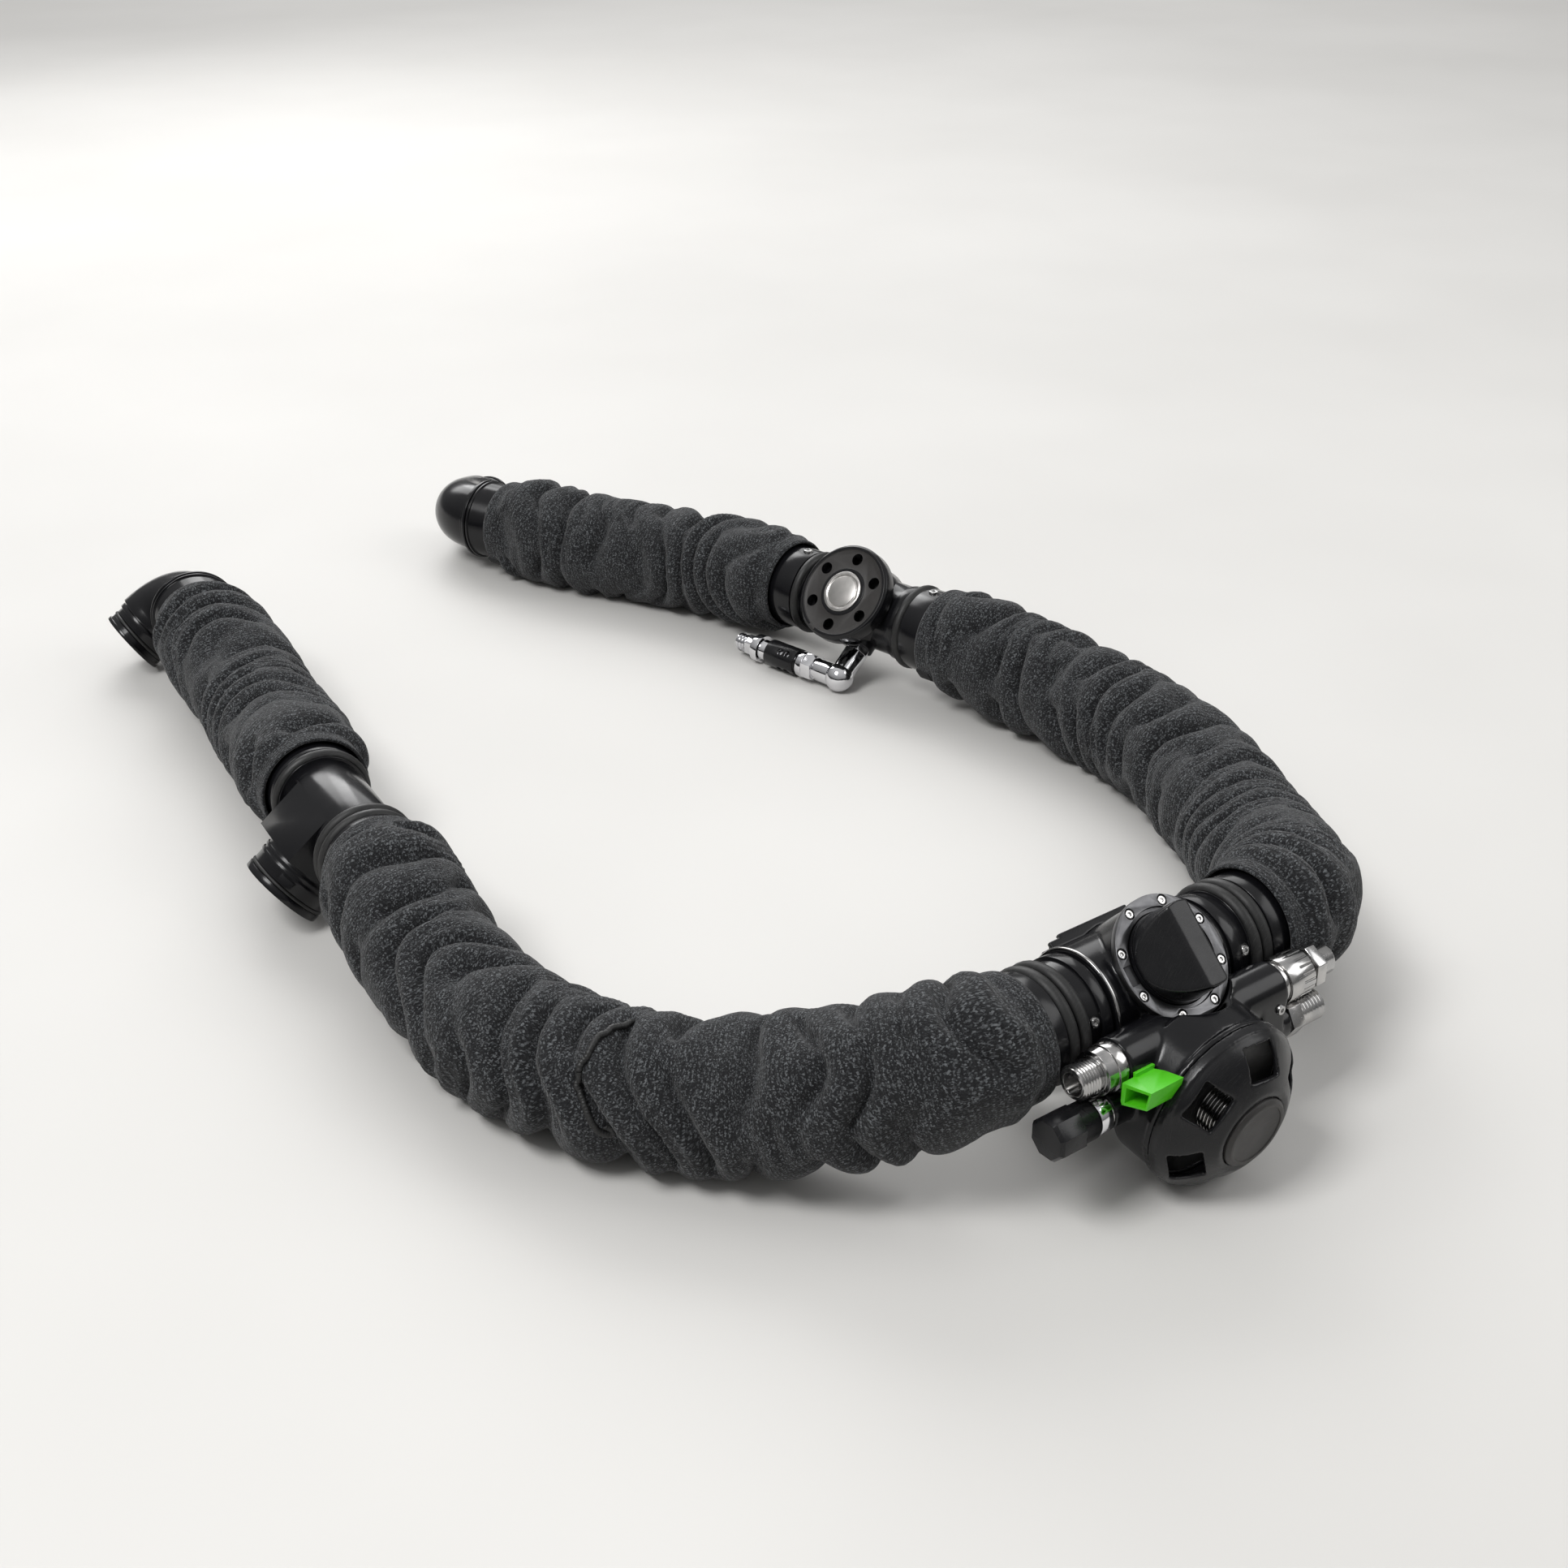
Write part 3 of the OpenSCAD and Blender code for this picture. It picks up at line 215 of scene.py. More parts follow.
def build_knit_group() -> Group:
    """Builds the rib knit of the hose sleeves, over UV in metres.

    Returns:
        A group with Height (stitches in ribs), Mask (stitch crowns, lighter for painted light, with painted
        shade in the valleys between them) and Yarn (each stitch's own tone).
    """
    g = Group("Knit", {"Vector": 0.0, "Rib": 2900.0, "Stitch": 5200.0}, ("Height", "Mask", "Yarn"))
    wobble = g.add("TexNoise", Scale=90.0, Detail=3.0)
    g.join(g.source["Vector"], wobble.inputs["Vector"])
    shift = g.add("VectorMath", operation="MULTIPLY_ADD")
    g.join(wobble.outputs["Color"], shift.inputs[0])
    shift.inputs[1].default_value = (KNIT_WOBBLE, KNIT_WOBBLE, 0.0)
    g.join(g.source["Vector"], shift.inputs[2])
    place = g.add("SeparateXYZ")
    g.join(shift.outputs[0], place.inputs[0])
    half_rib = g.math("MULTIPLY", g.source["Rib"], 0.5)
    rib = g.math("ABSOLUTE", g.math("SINE", g.math("MULTIPLY", place.outputs[1], half_rib)))
    row = g.math("SINE", g.math("MULTIPLY", place.outputs[1], g.source["Rib"]))
    along = g.math("MULTIPLY", place.outputs[0], g.source["Stitch"])
    slanted = g.math("ADD", along, g.math("MULTIPLY", row, ROW_SLANT))
    stitch = g.math("MULTIPLY_ADD", g.math("SINE", slanted), 0.5)
    raised = g.math("ADD", 1.0 - STITCH_SHARE, g.math("MULTIPLY", stitch, STITCH_SHARE))
    crown = g.math("MULTIPLY", g.math("POWER", rib, RIB_CROWN), raised)
    # Painted shade: the crown height becomes the colour mask, so the crowns read lighter and the valleys
    # between stitches darker.
    mask = g.add("MapRange", From_Min=0.1, From_Max=0.7, To_Min=0.3)
    g.join(crown, mask.inputs[0])
    g.join(mask.outputs[0], g.sink["Mask"])
    cells = g.add("TexVoronoi", feature="F1", Scale=1700.0, Randomness=1.0)
    g.join(shift.outputs[0], cells.inputs["Vector"])
    shade = g.add("SeparateXYZ")
    g.join(cells.outputs["Color"], shade.inputs[0])
    g.join(shade.outputs[0], g.sink["Yarn"])
    stitches = g.math("MULTIPLY", crown, CROWN_HEIGHT)
    yarns = g.math("MULTIPLY", shade.outputs[1], YARN_HEIGHT)
    g.join(g.math("ADD", stitches, yarns), g.sink["Height"])
    return g


GRAIN = build_grain_group()
RUBBED = build_scratch_group()
KNIT = build_knit_group()


# ---------------------------------------------------------------- finishes


class Finish(Enum):
    """The loop's finishes; each value is the material's name."""

    ANODISED = "black_anodised"
    BLACK = "black_plastic"
    GREY = "grey_plastic"
    SEAL = "seal_rubber"
    HOSE = "hose_rubber"
    WEBBING = "webbing"
    SILICONE = "silicone"
    GREEN = "green_plastic"
    STEEL = "steel"
    DULL_STEEL = "dull_steel"
    CHROME = "chrome"
    ALUMINIUM = "aluminium"
    KNIT = "knit_fabric"


class Base:
    """A material's tree with its Principled BSDF, and shortcuts to wire it."""

    def __init__(self, name: str, space: str = "Object") -> None:
        """Makes the material.

        Args:
            name: Name of the material.
            space: Coordinates that its patterns read, Object or UV.
        """
        self.material = bpy.data.materials.new(name)
        self.material.use_nodes = True
        self.tree = self.material.node_tree
        self.shader = self.tree.nodes["Principled BSDF"]
        self.coords = add_node(self.tree, "TexCoord").outputs[space]

    def use(self, group: Group, **values: float) -> bpy.types.Node:
        """Places a shared group over the material's coordinates.

        Args:
            group: The group to place.
            values: Values of its inputs in this material.

        Returns:
            The group node.
        """
        node = self.tree.nodes.new("ShaderNodeGroup")
        node.node_tree = group.tree
        self.tree.links.new(self.coords, node.inputs["Vector"])
        for key, value in values.items():
            node.inputs[key].default_value = value
        return node

    def blend_color(self, mask: bpy.types.NodeSocket, low: Point, high: Point) -> bpy.types.NodeSocket:
        """Mixes two colours by a mask.

        Args:
            mask: Share of the second colour.
            low: Colour where the mask is 0.
            high: Colour where the mask is 1.

        Returns:
            The mixed colour's socket.
        """
        mix = add_node(self.tree, "Mix", data_type="RGBA")
        self.tree.links.new(mask, mix.inputs[0])
        mix.inputs[6].default_value = (*low, 1.0)
        mix.inputs[7].default_value = (*high, 1.0)
        return mix.outputs[2]

    def span(self, mask: bpy.types.NodeSocket, low: float, high: float) -> bpy.types.NodeSocket:
        """Maps a 0 to 1 mask to a span of values.

        Args:
            mask: The mask.
            low: Value where the mask is 0.
            high: Value where the mask is 1.

        Returns:
            The mapped value's socket.
        """
        node = add_node(self.tree, "MapRange", To_Min=low, To_Max=high)
        self.tree.links.new(mask, node.inputs[0])
        return node.outputs[0]

    def wire(self, source: bpy.types.NodeSocket, target: str) -> None:
        """Links a socket to one of the shader's inputs."""
        self.tree.links.new(source, self.shader.inputs[target])

    def bump(self, height: bpy.types.NodeSocket, depth: float) -> None:
        """Adds a bump from a height socket.

        Args:
            height: Height, 0 to 1.
            depth: Depth in metres that the full height stands for.
        """
        node = add_node(self.tree, "Bump", Distance=depth, Strength=1.0)
        self.tree.links.new(height, node.inputs["Height"])
        self.tree.links.new(node.outputs[0], self.shader.inputs["Normal"])


@dataclass(frozen=True)
class Coated:
    """Anodised or moulded skin: one colour with slow patches and a fine grain."""

    finish: Finish
    color: Point
    worn: Point
    rough: tuple[float, float] = (0.32, 0.46)
    grain: float = 0.00003
    fine: float = 1500.0
    rubbed: float = 0.35
    specular: float = 0.5

    def build(self) -> bpy.types.Material:
        """Builds the material.

        Returns:
            The material.
        """
        m = Base(self.finish.value)
        grain = m.use(GRAIN, Fine=self.fine)
        rubbed = m.use(RUBBED, Amount=self.rubbed)
        m.wire(m.blend_color(rubbed.outputs["Mask"], self.color, self.worn), "Base Color")
        m.wire(m.span(grain.outputs["Mask"], *self.rough), "Roughness")
        m.shader.inputs["Specular IOR Level"].default_value = self.specular
        m.bump(grain.outputs["Height"], self.grain)
        return m.material


@dataclass(frozen=True)
class Metal:
    """Bare or plated metal with fine tool marks."""

    finish: Finish
    color: Point
    dull: Point
    rough: tuple[float, float] = (0.18, 0.32)
    marks: float = 0.00001
    rubbed: float = 0.6

    def build(self) -> bpy.types.Material:
        """Builds the material.

        Returns:
            The material.
        """
        m = Base(self.finish.value)
        grain = m.use(GRAIN, Patch=140.0, Fine=2600.0)
        rubbed = m.use(RUBBED, Scale=400.0, Amount=self.rubbed)
        m.wire(m.blend_color(grain.outputs["Mask"], self.color, self.dull), "Base Color")
        m.wire(m.span(rubbed.outputs["Mask"], *self.rough), "Roughness")
        m.shader.inputs["Metallic"].default_value = 1.0
        m.bump(grain.outputs["Height"], self.marks)
        return m.material


@dataclass(frozen=True)
class KnitFabric:
    """Charcoal heathered rib knit, read over the sleeve's own UV map, with painted shade: crowns lighter,
    the valleys between stitches darker.
    """

    finish: Finish
    # The yarn colour in painted shade in the valleys, then on the painted lit crowns.
    valley_shade_color: Point
    lit_crown_color: Point
    fleck: Point
    rough: float = 0.92
    specular: float = 0.25
    sheen: float = 0.12
    sheen_rough: float = 0.5
    loft: float = 0.0004

    def build(self) -> bpy.types.Material:
        """Builds the material.

        Returns:
            The material.
        """
        m = Base(self.finish.value, "UV")
        knit = m.use(KNIT)
        flecks = add_node(m.tree, "MapRange", From_Min=0.6, From_Max=1.0)
        m.tree.links.new(knit.outputs["Yarn"], flecks.inputs[0])
        # Yarn colour mixed by the crown mask: painted shade in the valleys, painted light on the crowns.
        painted_shade_yarn = m.blend_color(knit.outputs["Mask"], self.valley_shade_color, self.lit_crown_color)
        mix = add_node(m.tree, "Mix", data_type="RGBA")
        # Heather flecks kept to the lit crowns and dimmed in the painted shade of the valleys.
        share = math_node(m.tree, "MULTIPLY", flecks.outputs[0], knit.outputs["Mask"])
        m.tree.links.new(share, mix.inputs[0])
        m.tree.links.new(painted_shade_yarn, mix.inputs[6])
        mix.inputs[7].default_value = (*self.fleck, 1.0)
        m.wire(mix.outputs[2], "Base Color")
        for key, value in (("Roughness", self.rough), ("Specular IOR Level", self.specular),
                           ("Sheen Weight", self.sheen), ("Sheen Roughness", self.sheen_rough)):
            m.shader.inputs[key].default_value = value
        m.bump(knit.outputs["Height"], self.loft)
        return m.material


FINISHES = (
    Coated(Finish.ANODISED, (0.005, 0.005, 0.006), (0.015, 0.015, 0.017), rough=(0.15, 0.24),
           grain=0.00001, rubbed=0.2, specular=0.32),
    Coated(Finish.BLACK, (0.007, 0.007, 0.008), (0.02, 0.02, 0.02), rough=(0.2, 0.32), grain=0.00002,
           specular=0.32),
    Coated(Finish.GREY, (0.02, 0.018, 0.017), (0.04, 0.036, 0.032), rough=(0.4, 0.52), grain=0.00006,
           fine=2200.0),
    Coated(Finish.SEAL, (0.008, 0.008, 0.008), (0.03, 0.03, 0.03), rough=(0.45, 0.6), grain=0.00006,
           rubbed=0.5),
    Coated(Finish.HOSE, (0.01, 0.01, 0.01), (0.02, 0.02, 0.02), rough=(0.6, 0.75), grain=0.0001),
    Coated(Finish.WEBBING, (0.008, 0.008, 0.009), (0.02, 0.02, 0.022), rough=(0.7, 0.85), grain=0.0002,
           fine=1100.0),
    Coated(Finish.SILICONE, (0.02, 0.02, 0.021), (0.035, 0.035, 0.036), rough=(0.42, 0.55), grain=0.00004),
    Coated(Finish.GREEN, (0.07, 0.5, 0.008), (0.12, 0.6, 0.03), rough=(0.28, 0.4), grain=0.00004,
           rubbed=0.3),
    Metal(Finish.STEEL, (0.52, 0.51, 0.5), (0.4, 0.4, 0.4), rough=(0.16, 0.3)),
    Metal(Finish.DULL_STEEL, (0.17, 0.17, 0.175), (0.12, 0.12, 0.125), rough=(0.34, 0.48)),
    Metal(Finish.CHROME, (0.78, 0.78, 0.8), (0.7, 0.7, 0.72), rough=(0.07, 0.18), rubbed=0.3),
    Metal(Finish.ALUMINIUM, (0.6, 0.58, 0.56), (0.5, 0.49, 0.47), rough=(0.28, 0.42)),
    # Knit: yarn in painted valley shade, yarn on painted lit crowns, heather fleck.
    KnitFabric(Finish.KNIT, (0.004, 0.004, 0.005), (0.012, 0.0125, 0.014), (0.13, 0.138, 0.145)),
)


class Palette:
    """Every finish of the loop, built once."""

    def __init__(self) -> None:
        """Builds all the materials."""
        self.materials = {f.finish: f.build() for f in FINISHES}

    def dress(self, piece: bpy.types.Object, finish: Finish) -> None:
        """Gives a piece one finish."""
        piece.data.materials.clear()
        piece.data.materials.append(self.materials[finish])

    def hand_in(self, piece: bpy.types.Object, finish: Finish, slot: str, body: str = "loop") -> None:
        """Gives a piece its finish and its body.

        Args:
            piece: The piece.
            finish: What it is made of.
            slot: The record's material slot; not used.
            body: The body that it moves with.
        """
        self.dress(piece, finish)
        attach(piece, body)
        LOG.info("%s: %s on %s", piece.name, finish.value, body)


# ---------------------------------------------------------------- hose routes


@dataclass(frozen=True)
class Fitting:
    """Where a fitting stands, and the heading of its run in degrees."""

    at: Point
    heading: float

    def port(self, side: int, face: float) -> "Fitting":
        """Returns the port at one end of the run, facing out.

        Args:
            side: -1 or 1 along the run.
            face: Distance of the port's face from the fitting's centre, in mm.

        Returns:
            The port as a place and a heading.
        """
        heading = self.heading + (180.0 if side < 0 else 0.0)
        a = math.radians(heading)
        x, y, z = self.at
        return Fitting((x + face * math.cos(a), y + face * math.sin(a), z), heading)

    def out(self, distance: float) -> Vector:
        """Returns the point that lies out of the port.

        Args:
            distance: Distance from the port's face, in mm.

        Returns:
            The point, in mm.
        """
        a = math.radians(self.heading)
        x, y, z = self.at
        return Vector((x + distance * math.cos(a), y + distance * math.sin(a), z))


LEFT_ELBOW = Fitting((-123.0, 329.0, 38.3), 79.0)
EXHALE_TEE = Fitting((-184.5, 15.5, 43.2), -99.0)
BAIL_OUT = Fitting((-14.0, -325.0, 62.2), 0.0)
ADDITION = Fitting((184.0, 73.0, 36.0), -80.0)
RIGHT_ELBOW = Fitting((83.6, 373.3, 31.0), 112.0)
ELBOW_FACE = 25.0
TEE_FACE = 28.0
VALVE_FACE = 45.0
ADDITION_FACE = 35.0
COLLAR_LEN = 24.0
HOSE_LEAD = 15.0


def knot(points: Sequence[Vector], i: int) -> Vector:
    """Finds a route point, carried on straight past either end.

    Args:
        points: The route's points.
        i: Which point; one below or above the range is allowed.

    Returns:
        The point.
    """
    if i < 0:
        return 2 * points[0] - points[1]
    if i >= len(points):
        return 2 * points[-1] - points[-2]
    return points[i]


def smooth_route(points: Sequence[Vector], step: float) -> list[Vector]:
    """Runs a smooth curve through the points.

    Args:
        points: Points that the curve passes through, in mm.
        step: Distance between samples, in mm.

    Returns:
        The samples along the curve.
    """
    result: list[Vector] = []
    for i in range(len(points) - 1):
        a, b, c, d = (knot(points, i + k) for k in (-1, 0, 1, 2))
        count = max(1, round((c - b).length / step))
        for k in range(count):
            t = k / count
            result.append(0.5 * (2 * b + (c - a) * t + (2 * a - 5 * b + 4 * c - d) * t * t
                                 + (3 * b - a - 3 * c + d) * t ** 3))
    result.append(points[-1].copy())
    return result


def settle(line: Sequence[Vector], step: float, ease: float = 6.0) -> list[Vector]:
    """Spaces a line evenly and eases the small kinks between its points.

    Args:
        line: Samples along the line, in mm.
        step: Distance between samples, in mm.
        ease: How far along the line the easing reaches, in mm.

    Returns:
        The eased samples, with both ends kept.
    """
    even, left = [line[0].copy()], step
    for a, b in zip(line, line[1:]):
        length = (b - a).length
        while left <= length:
            even.append(a.lerp(b, left / length))
            left += step
        left -= length
    even.append(line[-1].copy())
    for _ in range(round(2 * (ease / step) ** 2)):
        even[2:-2] = [(a + 2 * b + c) / 4 for a, b, c in zip(even[1:-3], even[2:-2], even[3:-1])]
    return even


@dataclass(frozen=True)
class Route:
    """One hose between two ports, with the hems of its sleeve."""

    start: Fitting
    via: tuple[Point, ...]
    end: Fitting
    hem_start: float
    hem_end: float

    def hose_line(self, step: float) -> list[Vector]:
        """Lays the hose's centre line.

        Args:
            step: Distance between samples, in mm.

        Returns:
            The samples, in mm.
        """
        leads = [COLLAR_LEN, COLLAR_LEN + HOSE_LEAD / 2, COLLAR_LEN + HOSE_LEAD]
        points = [self.start.out(d) for d in leads]
        points += [Vector(p) for p in self.via]
        points += [self.end.out(d) for d in reversed(leads)]
        return settle(smooth_route(points, step), step)

    def sleeve_line(self, step: float) -> list[Vector]:
        """Lays the sleeve's centre line, from hem to hem.

        Args:
            step: Distance between samples, in mm.

        Returns:
            The samples, in mm.
        """
        leads = []
        for port, hem in ((self.start, self.hem_start), (self.end, self.hem_end)):
            reach = COLLAR_LEN - hem
            count = max(2, round(reach / step))
            leads.append([port.out(hem + reach * k / count) for k in range(count)])
        return settle(leads[0] + self.hose_line(step) + leads[1][::-1], step)


ROUTES = (
    Route(LEFT_ELBOW.port(-1, ELBOW_FACE),
          ((-141, 215, 31.5), (-149, 172, 29.5), (-158, 128, 31.5)),
          EXHALE_TEE.port(-1, TEE_FACE), 20.0, 11.0),
    Route(EXHALE_TEE.port(1, TEE_FACE),
          ((-202, -92, 34), (-206, -132, 29.5), (-206, -170, 29.5), (-196, -208, 29.5),
           (-177, -240, 30), (-153, -269, 35), (-128, -301, 49)),
          BAIL_OUT.port(-1, VALVE_FACE), 19.5, 20.0),
    Route(BAIL_OUT.port(1, VALVE_FACE),
          ((96, -312, 56), (133, -268, 39), (173, -208, 29.5), (193, -161, 29.5),
           (202, -116, 29.5), (205, -72, 29.5), (203, -34, 31)),
          ADDITION.port(1, ADDITION_FACE), 20.0, 20.0),
    Route(ADDITION.port(-1, ADDITION_FACE),
          ((167, 175, 31), (157, 211, 29.5), (141, 243, 29.5), (124, 276, 29.5)),
          RIGHT_ELBOW.port(-1, ELBOW_FACE), 21.0, 18.0),
)


# Slits by sleeve: places along the sleeve in mm, and degrees round it
SLITS = {
    2: (((199, 84), (194, 99), (192, 116), (191, 132), (189.5, 150), (191.5, 160), (195, 174), (198, 186),
         (202, 190), (203, 185), (199, 181)),),
}


# ---------------------------------------------------------------- mesh helpers


def deselect_all() -> None:
    """Deselects every object."""
    bpy.ops.object.select_all(action="DESELECT")


def take(piece: bpy.types.Object) -> None:
    """Makes a piece the only selected and active object.

    Args:
        piece: The piece to work on.
    """
    deselect_all()
    piece.select_set(True)
    bpy.context.view_layer.objects.active = piece


def heading_at(line: Sequence[Vector], i: int) -> Vector:
    """Returns a line's direction at one of its samples."""
    return (line[min(i + 1, len(line) - 1)] - line[max(i - 1, 0)]).normalized()


def ring_about(line: Sequence[Vector], i: int, radius: float, around: int,
               level: Point = (0.0, 0.0, 1.0)) -> list[Vector]:
    """Lays one round ring about a line.

    Args:
        line: The centre line, in mm.
        i: Sample at which the ring stands.
        radius: The ring's radius, in mm.
        around: Count of its points.
        level: Direction from which its first point is turned a quarter away.

    Returns:
        The ring's points, in metres.
    """
    ahead = heading_at(line, i)
    side = Vector(level).cross(ahead).normalized()
    up = ahead.cross(side)
    return [(line[i] + radius * (math.cos(a) * side + math.sin(a) * up)) * MM
            for a in (2 * math.pi * k / around for k in range(around))]


def uv_row(around: int, girth: float, along: float) -> list[tuple[float, float]]:
    """Returns one ring's UV places in metres, with the seam's width as the last."""
    return [(k / around * girth, along) for k in range(around)] + [(girth, 0.0)]


def from_grid(name: str, rings: Sequence[Sequence[Vector]],
              uv: Sequence[Sequence[tuple[float, float]]]) -> bpy.types.Object:
    """Makes a tube-like mesh from rings of points in metres, with its UV map.

    Args:
        name: Name of the piece.
        rings: Rings of points, all with the same count.
        uv: UV of each point; the last column's neighbour gets its own seam value.

    Returns:
        The new object.
    """
    n = len(rings[0])
    mesh = bpy.data.meshes.new(name)
    verts = [p for ring in rings for p in ring]
    faces = [(i * n + k, i * n + (k + 1) % n, (i + 1) * n + (k + 1) % n, (i + 1) * n + k)
             for i in range(len(rings) - 1) for k in range(n)]
    mesh.from_pydata(verts, [], faces)
    layer = mesh.uv_layers.new(name="Cloth").data
    index = 0
    for i in range(len(rings) - 1):
        for k in range(n):
            for a, b in ((i, k), (i, k + 1), (i + 1, k + 1), (i + 1, k)):
                u, v = uv[a][b % n]
                if b == n:
                    u += uv[a][n][0]
                layer[index].uv = (u, v)
                index += 1
    piece = bpy.data.objects.new(name, mesh)
    bpy.context.scene.collection.objects.link(piece)
    for face in mesh.polygons:
        face.use_smooth = True
    return piece


def apply_modifier(piece: bpy.types.Object, kind: str, **settings: object) -> None:
    """Adds one modifier to a piece and applies it.

    Args:
        piece: The piece.
        kind: The modifier's type.
        settings: Its properties.
    """
    take(piece)
    modifier = piece.modifiers.new(kind.title(), kind)
    for key, value in settings.items():
        setattr(modifier, key, value)
    bpy.ops.object.modifier_apply(modifier=modifier.name)


# ---------------------------------------------------------------- soft pieces


@dataclass(frozen=True)
class Drift:
    """A smooth random change over a sleeve, about -0.5 to 0.5."""

    turn: float
    length: float
    seeded: Point
    start: Point = (0.0, 0.0, 0.0)

    def at(self, round_hose: tuple[float, float], s: float, seed: float) -> float:
        """Reads the change at one place.

        Args:
            round_hose: Cosine and sine of the angle round the hose.
            s: Distance along the sleeve, in mm.
            seed: The sleeve's own number.

        Returns:
            The change.
        """
        place = (self.turn * round_hose[0], self.turn * round_hose[1], s / self.length)
        return noise.noise(Vector([p + k * seed + q for p, k, q in zip(place, self.seeded, self.start)]))


WANDER = Drift(0.7, 44.0, (1.0, 0.0, 0.0))
LEAN = Drift(0.45, 90.0, (0.0, 1.0, 0.0))
LIVE = Drift(1.35, 25.0, (0.0, -1.0, 0.0), (0.0, 0.0, 9.0))
BUNCH = Drift(1.2, 28.0, (-1.0, 0.0, 0.0))
SWELL = Drift(0.8, 40.0, (0.0, 0.0, 1.0), (5.0, 0.0, 0.0))
SMALL = Drift(6.0, 6.0, (0.0, 0.0, 1.0))


@dataclass
class Sleeve:
    """A ruched knit sleeve over one hose; sizes in mm."""

    route: Route
    number: int
    edges: tuple[tuple[tuple[float, float], ...], ...] = ()
    pitch: float = 21.0
    depth: float = 8.6
    crest: float = 32.2
    roundness: float = 0.95
    roll_over: float = 1.5
    seed_step: float = 31.7
    wander_share: float = 0.9
    lean_share: float = 0.8
    sway_share: float = 0.2
    sway_length: float = 57.0
    live_middle: float = 0.76
    live_share: float = 1.8
    live_least: float = 0.15
    fine_turns: float = 2.3
    fine_wander: float = 2.0
    bunch_depth: float = 4.2
    bunch_least: float = 0.12
    swell_height: float = 1.9
    small_height: float = 0.3
    hem_radius: float = 26.3
    hem_width: float = 8.0
    hem_proud: float = 0.5
    seam_width: float = 1.6
    seam_sunk: float = 0.35
    lip_width: float = 1.2
    lip_turn: float = 0.6
    calm_length: float = 6.0
    calm_ease: float = 8.0
    inside: float = 24.7
    floor_gap: float = 0.25
    step: float = 1.5
    around: int = 96
    gather: float = 1.3
    girth: float = 190.0
    cloth: float = 1.1

    def __post_init__(self) -> None:
        """Lays out the centre line and its lengths."""
        self.line = self.route.sleeve_line(self.step)
        self.lengths = [0.0]
        for a, b in zip(self.line, self.line[1:]):
            self.lengths.append(self.lengths[-1] + (b - a).length)
        self.total = self.lengths[-1]

    def hem_at(self, end: float) -> float:
        """Finds the radius of the smooth hem.

        Args:
            end: Distance to the nearest hem edge, in mm.

        Returns:
            The radius, in mm.
        """
        proud = 0.0
        if end < self.hem_width:
            proud = self.hem_proud
        elif end < self.hem_width + self.seam_width:
            proud = -self.seam_sunk
        return self.hem_radius + proud - self.lip_turn * max(0.0, self.lip_width - end)

    def fold(self, s: float, angle: float) -> tuple[float, float]:
        """Finds the sleeve's radius and its shift along the hose at one place.

        Args:
            s: Distance along the sleeve, in mm.
            angle: Angle round it, in radians.

        Returns:
            The radius there, and how far the cloth leans along the hose.
        """
        end = min(s, self.total - s)
        calm = min(1.0, max(0.0, (end - self.calm_length) / self.calm_ease))
        calm = calm * calm * (3 - 2 * calm)
        seed = self.seed_step * self.number
        around = (math.cos(angle), math.sin(angle))
        wander = WANDER.at(around, s, seed)
        sway = around[1] * math.sin(s / self.sway_length + seed)
        lean = LEAN.at(around, s, seed) * around[0]
        phase = math.pi * (s / self.pitch + self.wander_share * wander + self.lean_share * lean
                           + self.sway_share * sway)
        roll = abs(math.sin(phase)) ** self.roundness
        live = self.live_middle + self.live_share * LIVE.at(around, s, seed)
        live = min(1.0, max(self.live_least, live))
        fine = abs(math.sin(phase * self.fine_turns + self.fine_wander * wander + seed))
        bunch = max(0.0, self.bunch_least + BUNCH.at(around, s, seed))
        swell = self.swell_height * SWELL.at(around, s, seed)
        small = self.small_height * SMALL.at(around, s, seed)
        radius = (self.crest - self.depth * live * (1.0 - roll) - self.bunch_depth * bunch * (1.0 - fine)
                  + swell + small)
        hem = self.hem_at(end)
        shift = -self.roll_over * live * calm * math.sin(2.0 * phase)
        return max(self.inside, hem + calm * (radius - hem)), shift

    def place(self, i: int, angle: float, lift: float = 0.0) -> Vector:
        """Finds a point of the sleeve's outside.

        Args:
            i: Sample along the centre line.
            angle: Angle round it, in radians.
            lift: Height above the cloth, in mm.

        Returns:
            The point in mm, kept above the floor.
        """
        ahead = heading_at(self.line, i)
        side = Vector((0, 0, 1)).cross(ahead).normalized()
        radius, shift = self.fold(self.lengths[i], angle)
        out = math.cos(angle) * side + math.sin(angle) * ahead.cross(side)
        point = self.line[i] + shift * ahead + (radius + lift) * out
        point.z = max(point.z, self.floor_gap + lift)
        return point

    def build(self, palette: Palette) -> bpy.types.Object:
        """Args:
            palette: The finishes.

        Returns:
            The sleeve.
        """
        angles = [2 * math.pi * k / self.around for k in range(self.around)]
        rings = [[self.place(i, angle) * MM for angle in angles] for i in range(len(self.lengths))]
        uv = [uv_row(self.around, self.girth * MM, s * self.gather * MM) for s in self.lengths]
        piece = from_grid(f"sleeve_{self.number}", rings, uv)
        apply_modifier(piece, "SOLIDIFY", thickness=self.cloth * MM, offset=-1.0, use_even_offset=False)
        palette.hand_in(piece, Finish.KNIT, "knit_fabric")
        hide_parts(f"cover_{self.number}")
        edges = [CordEdge(self, path).build(palette) for path in self.edges]
        LOG.info("sleeve %d: %.0f mm from hem to hem", self.number, self.total)
        return piece


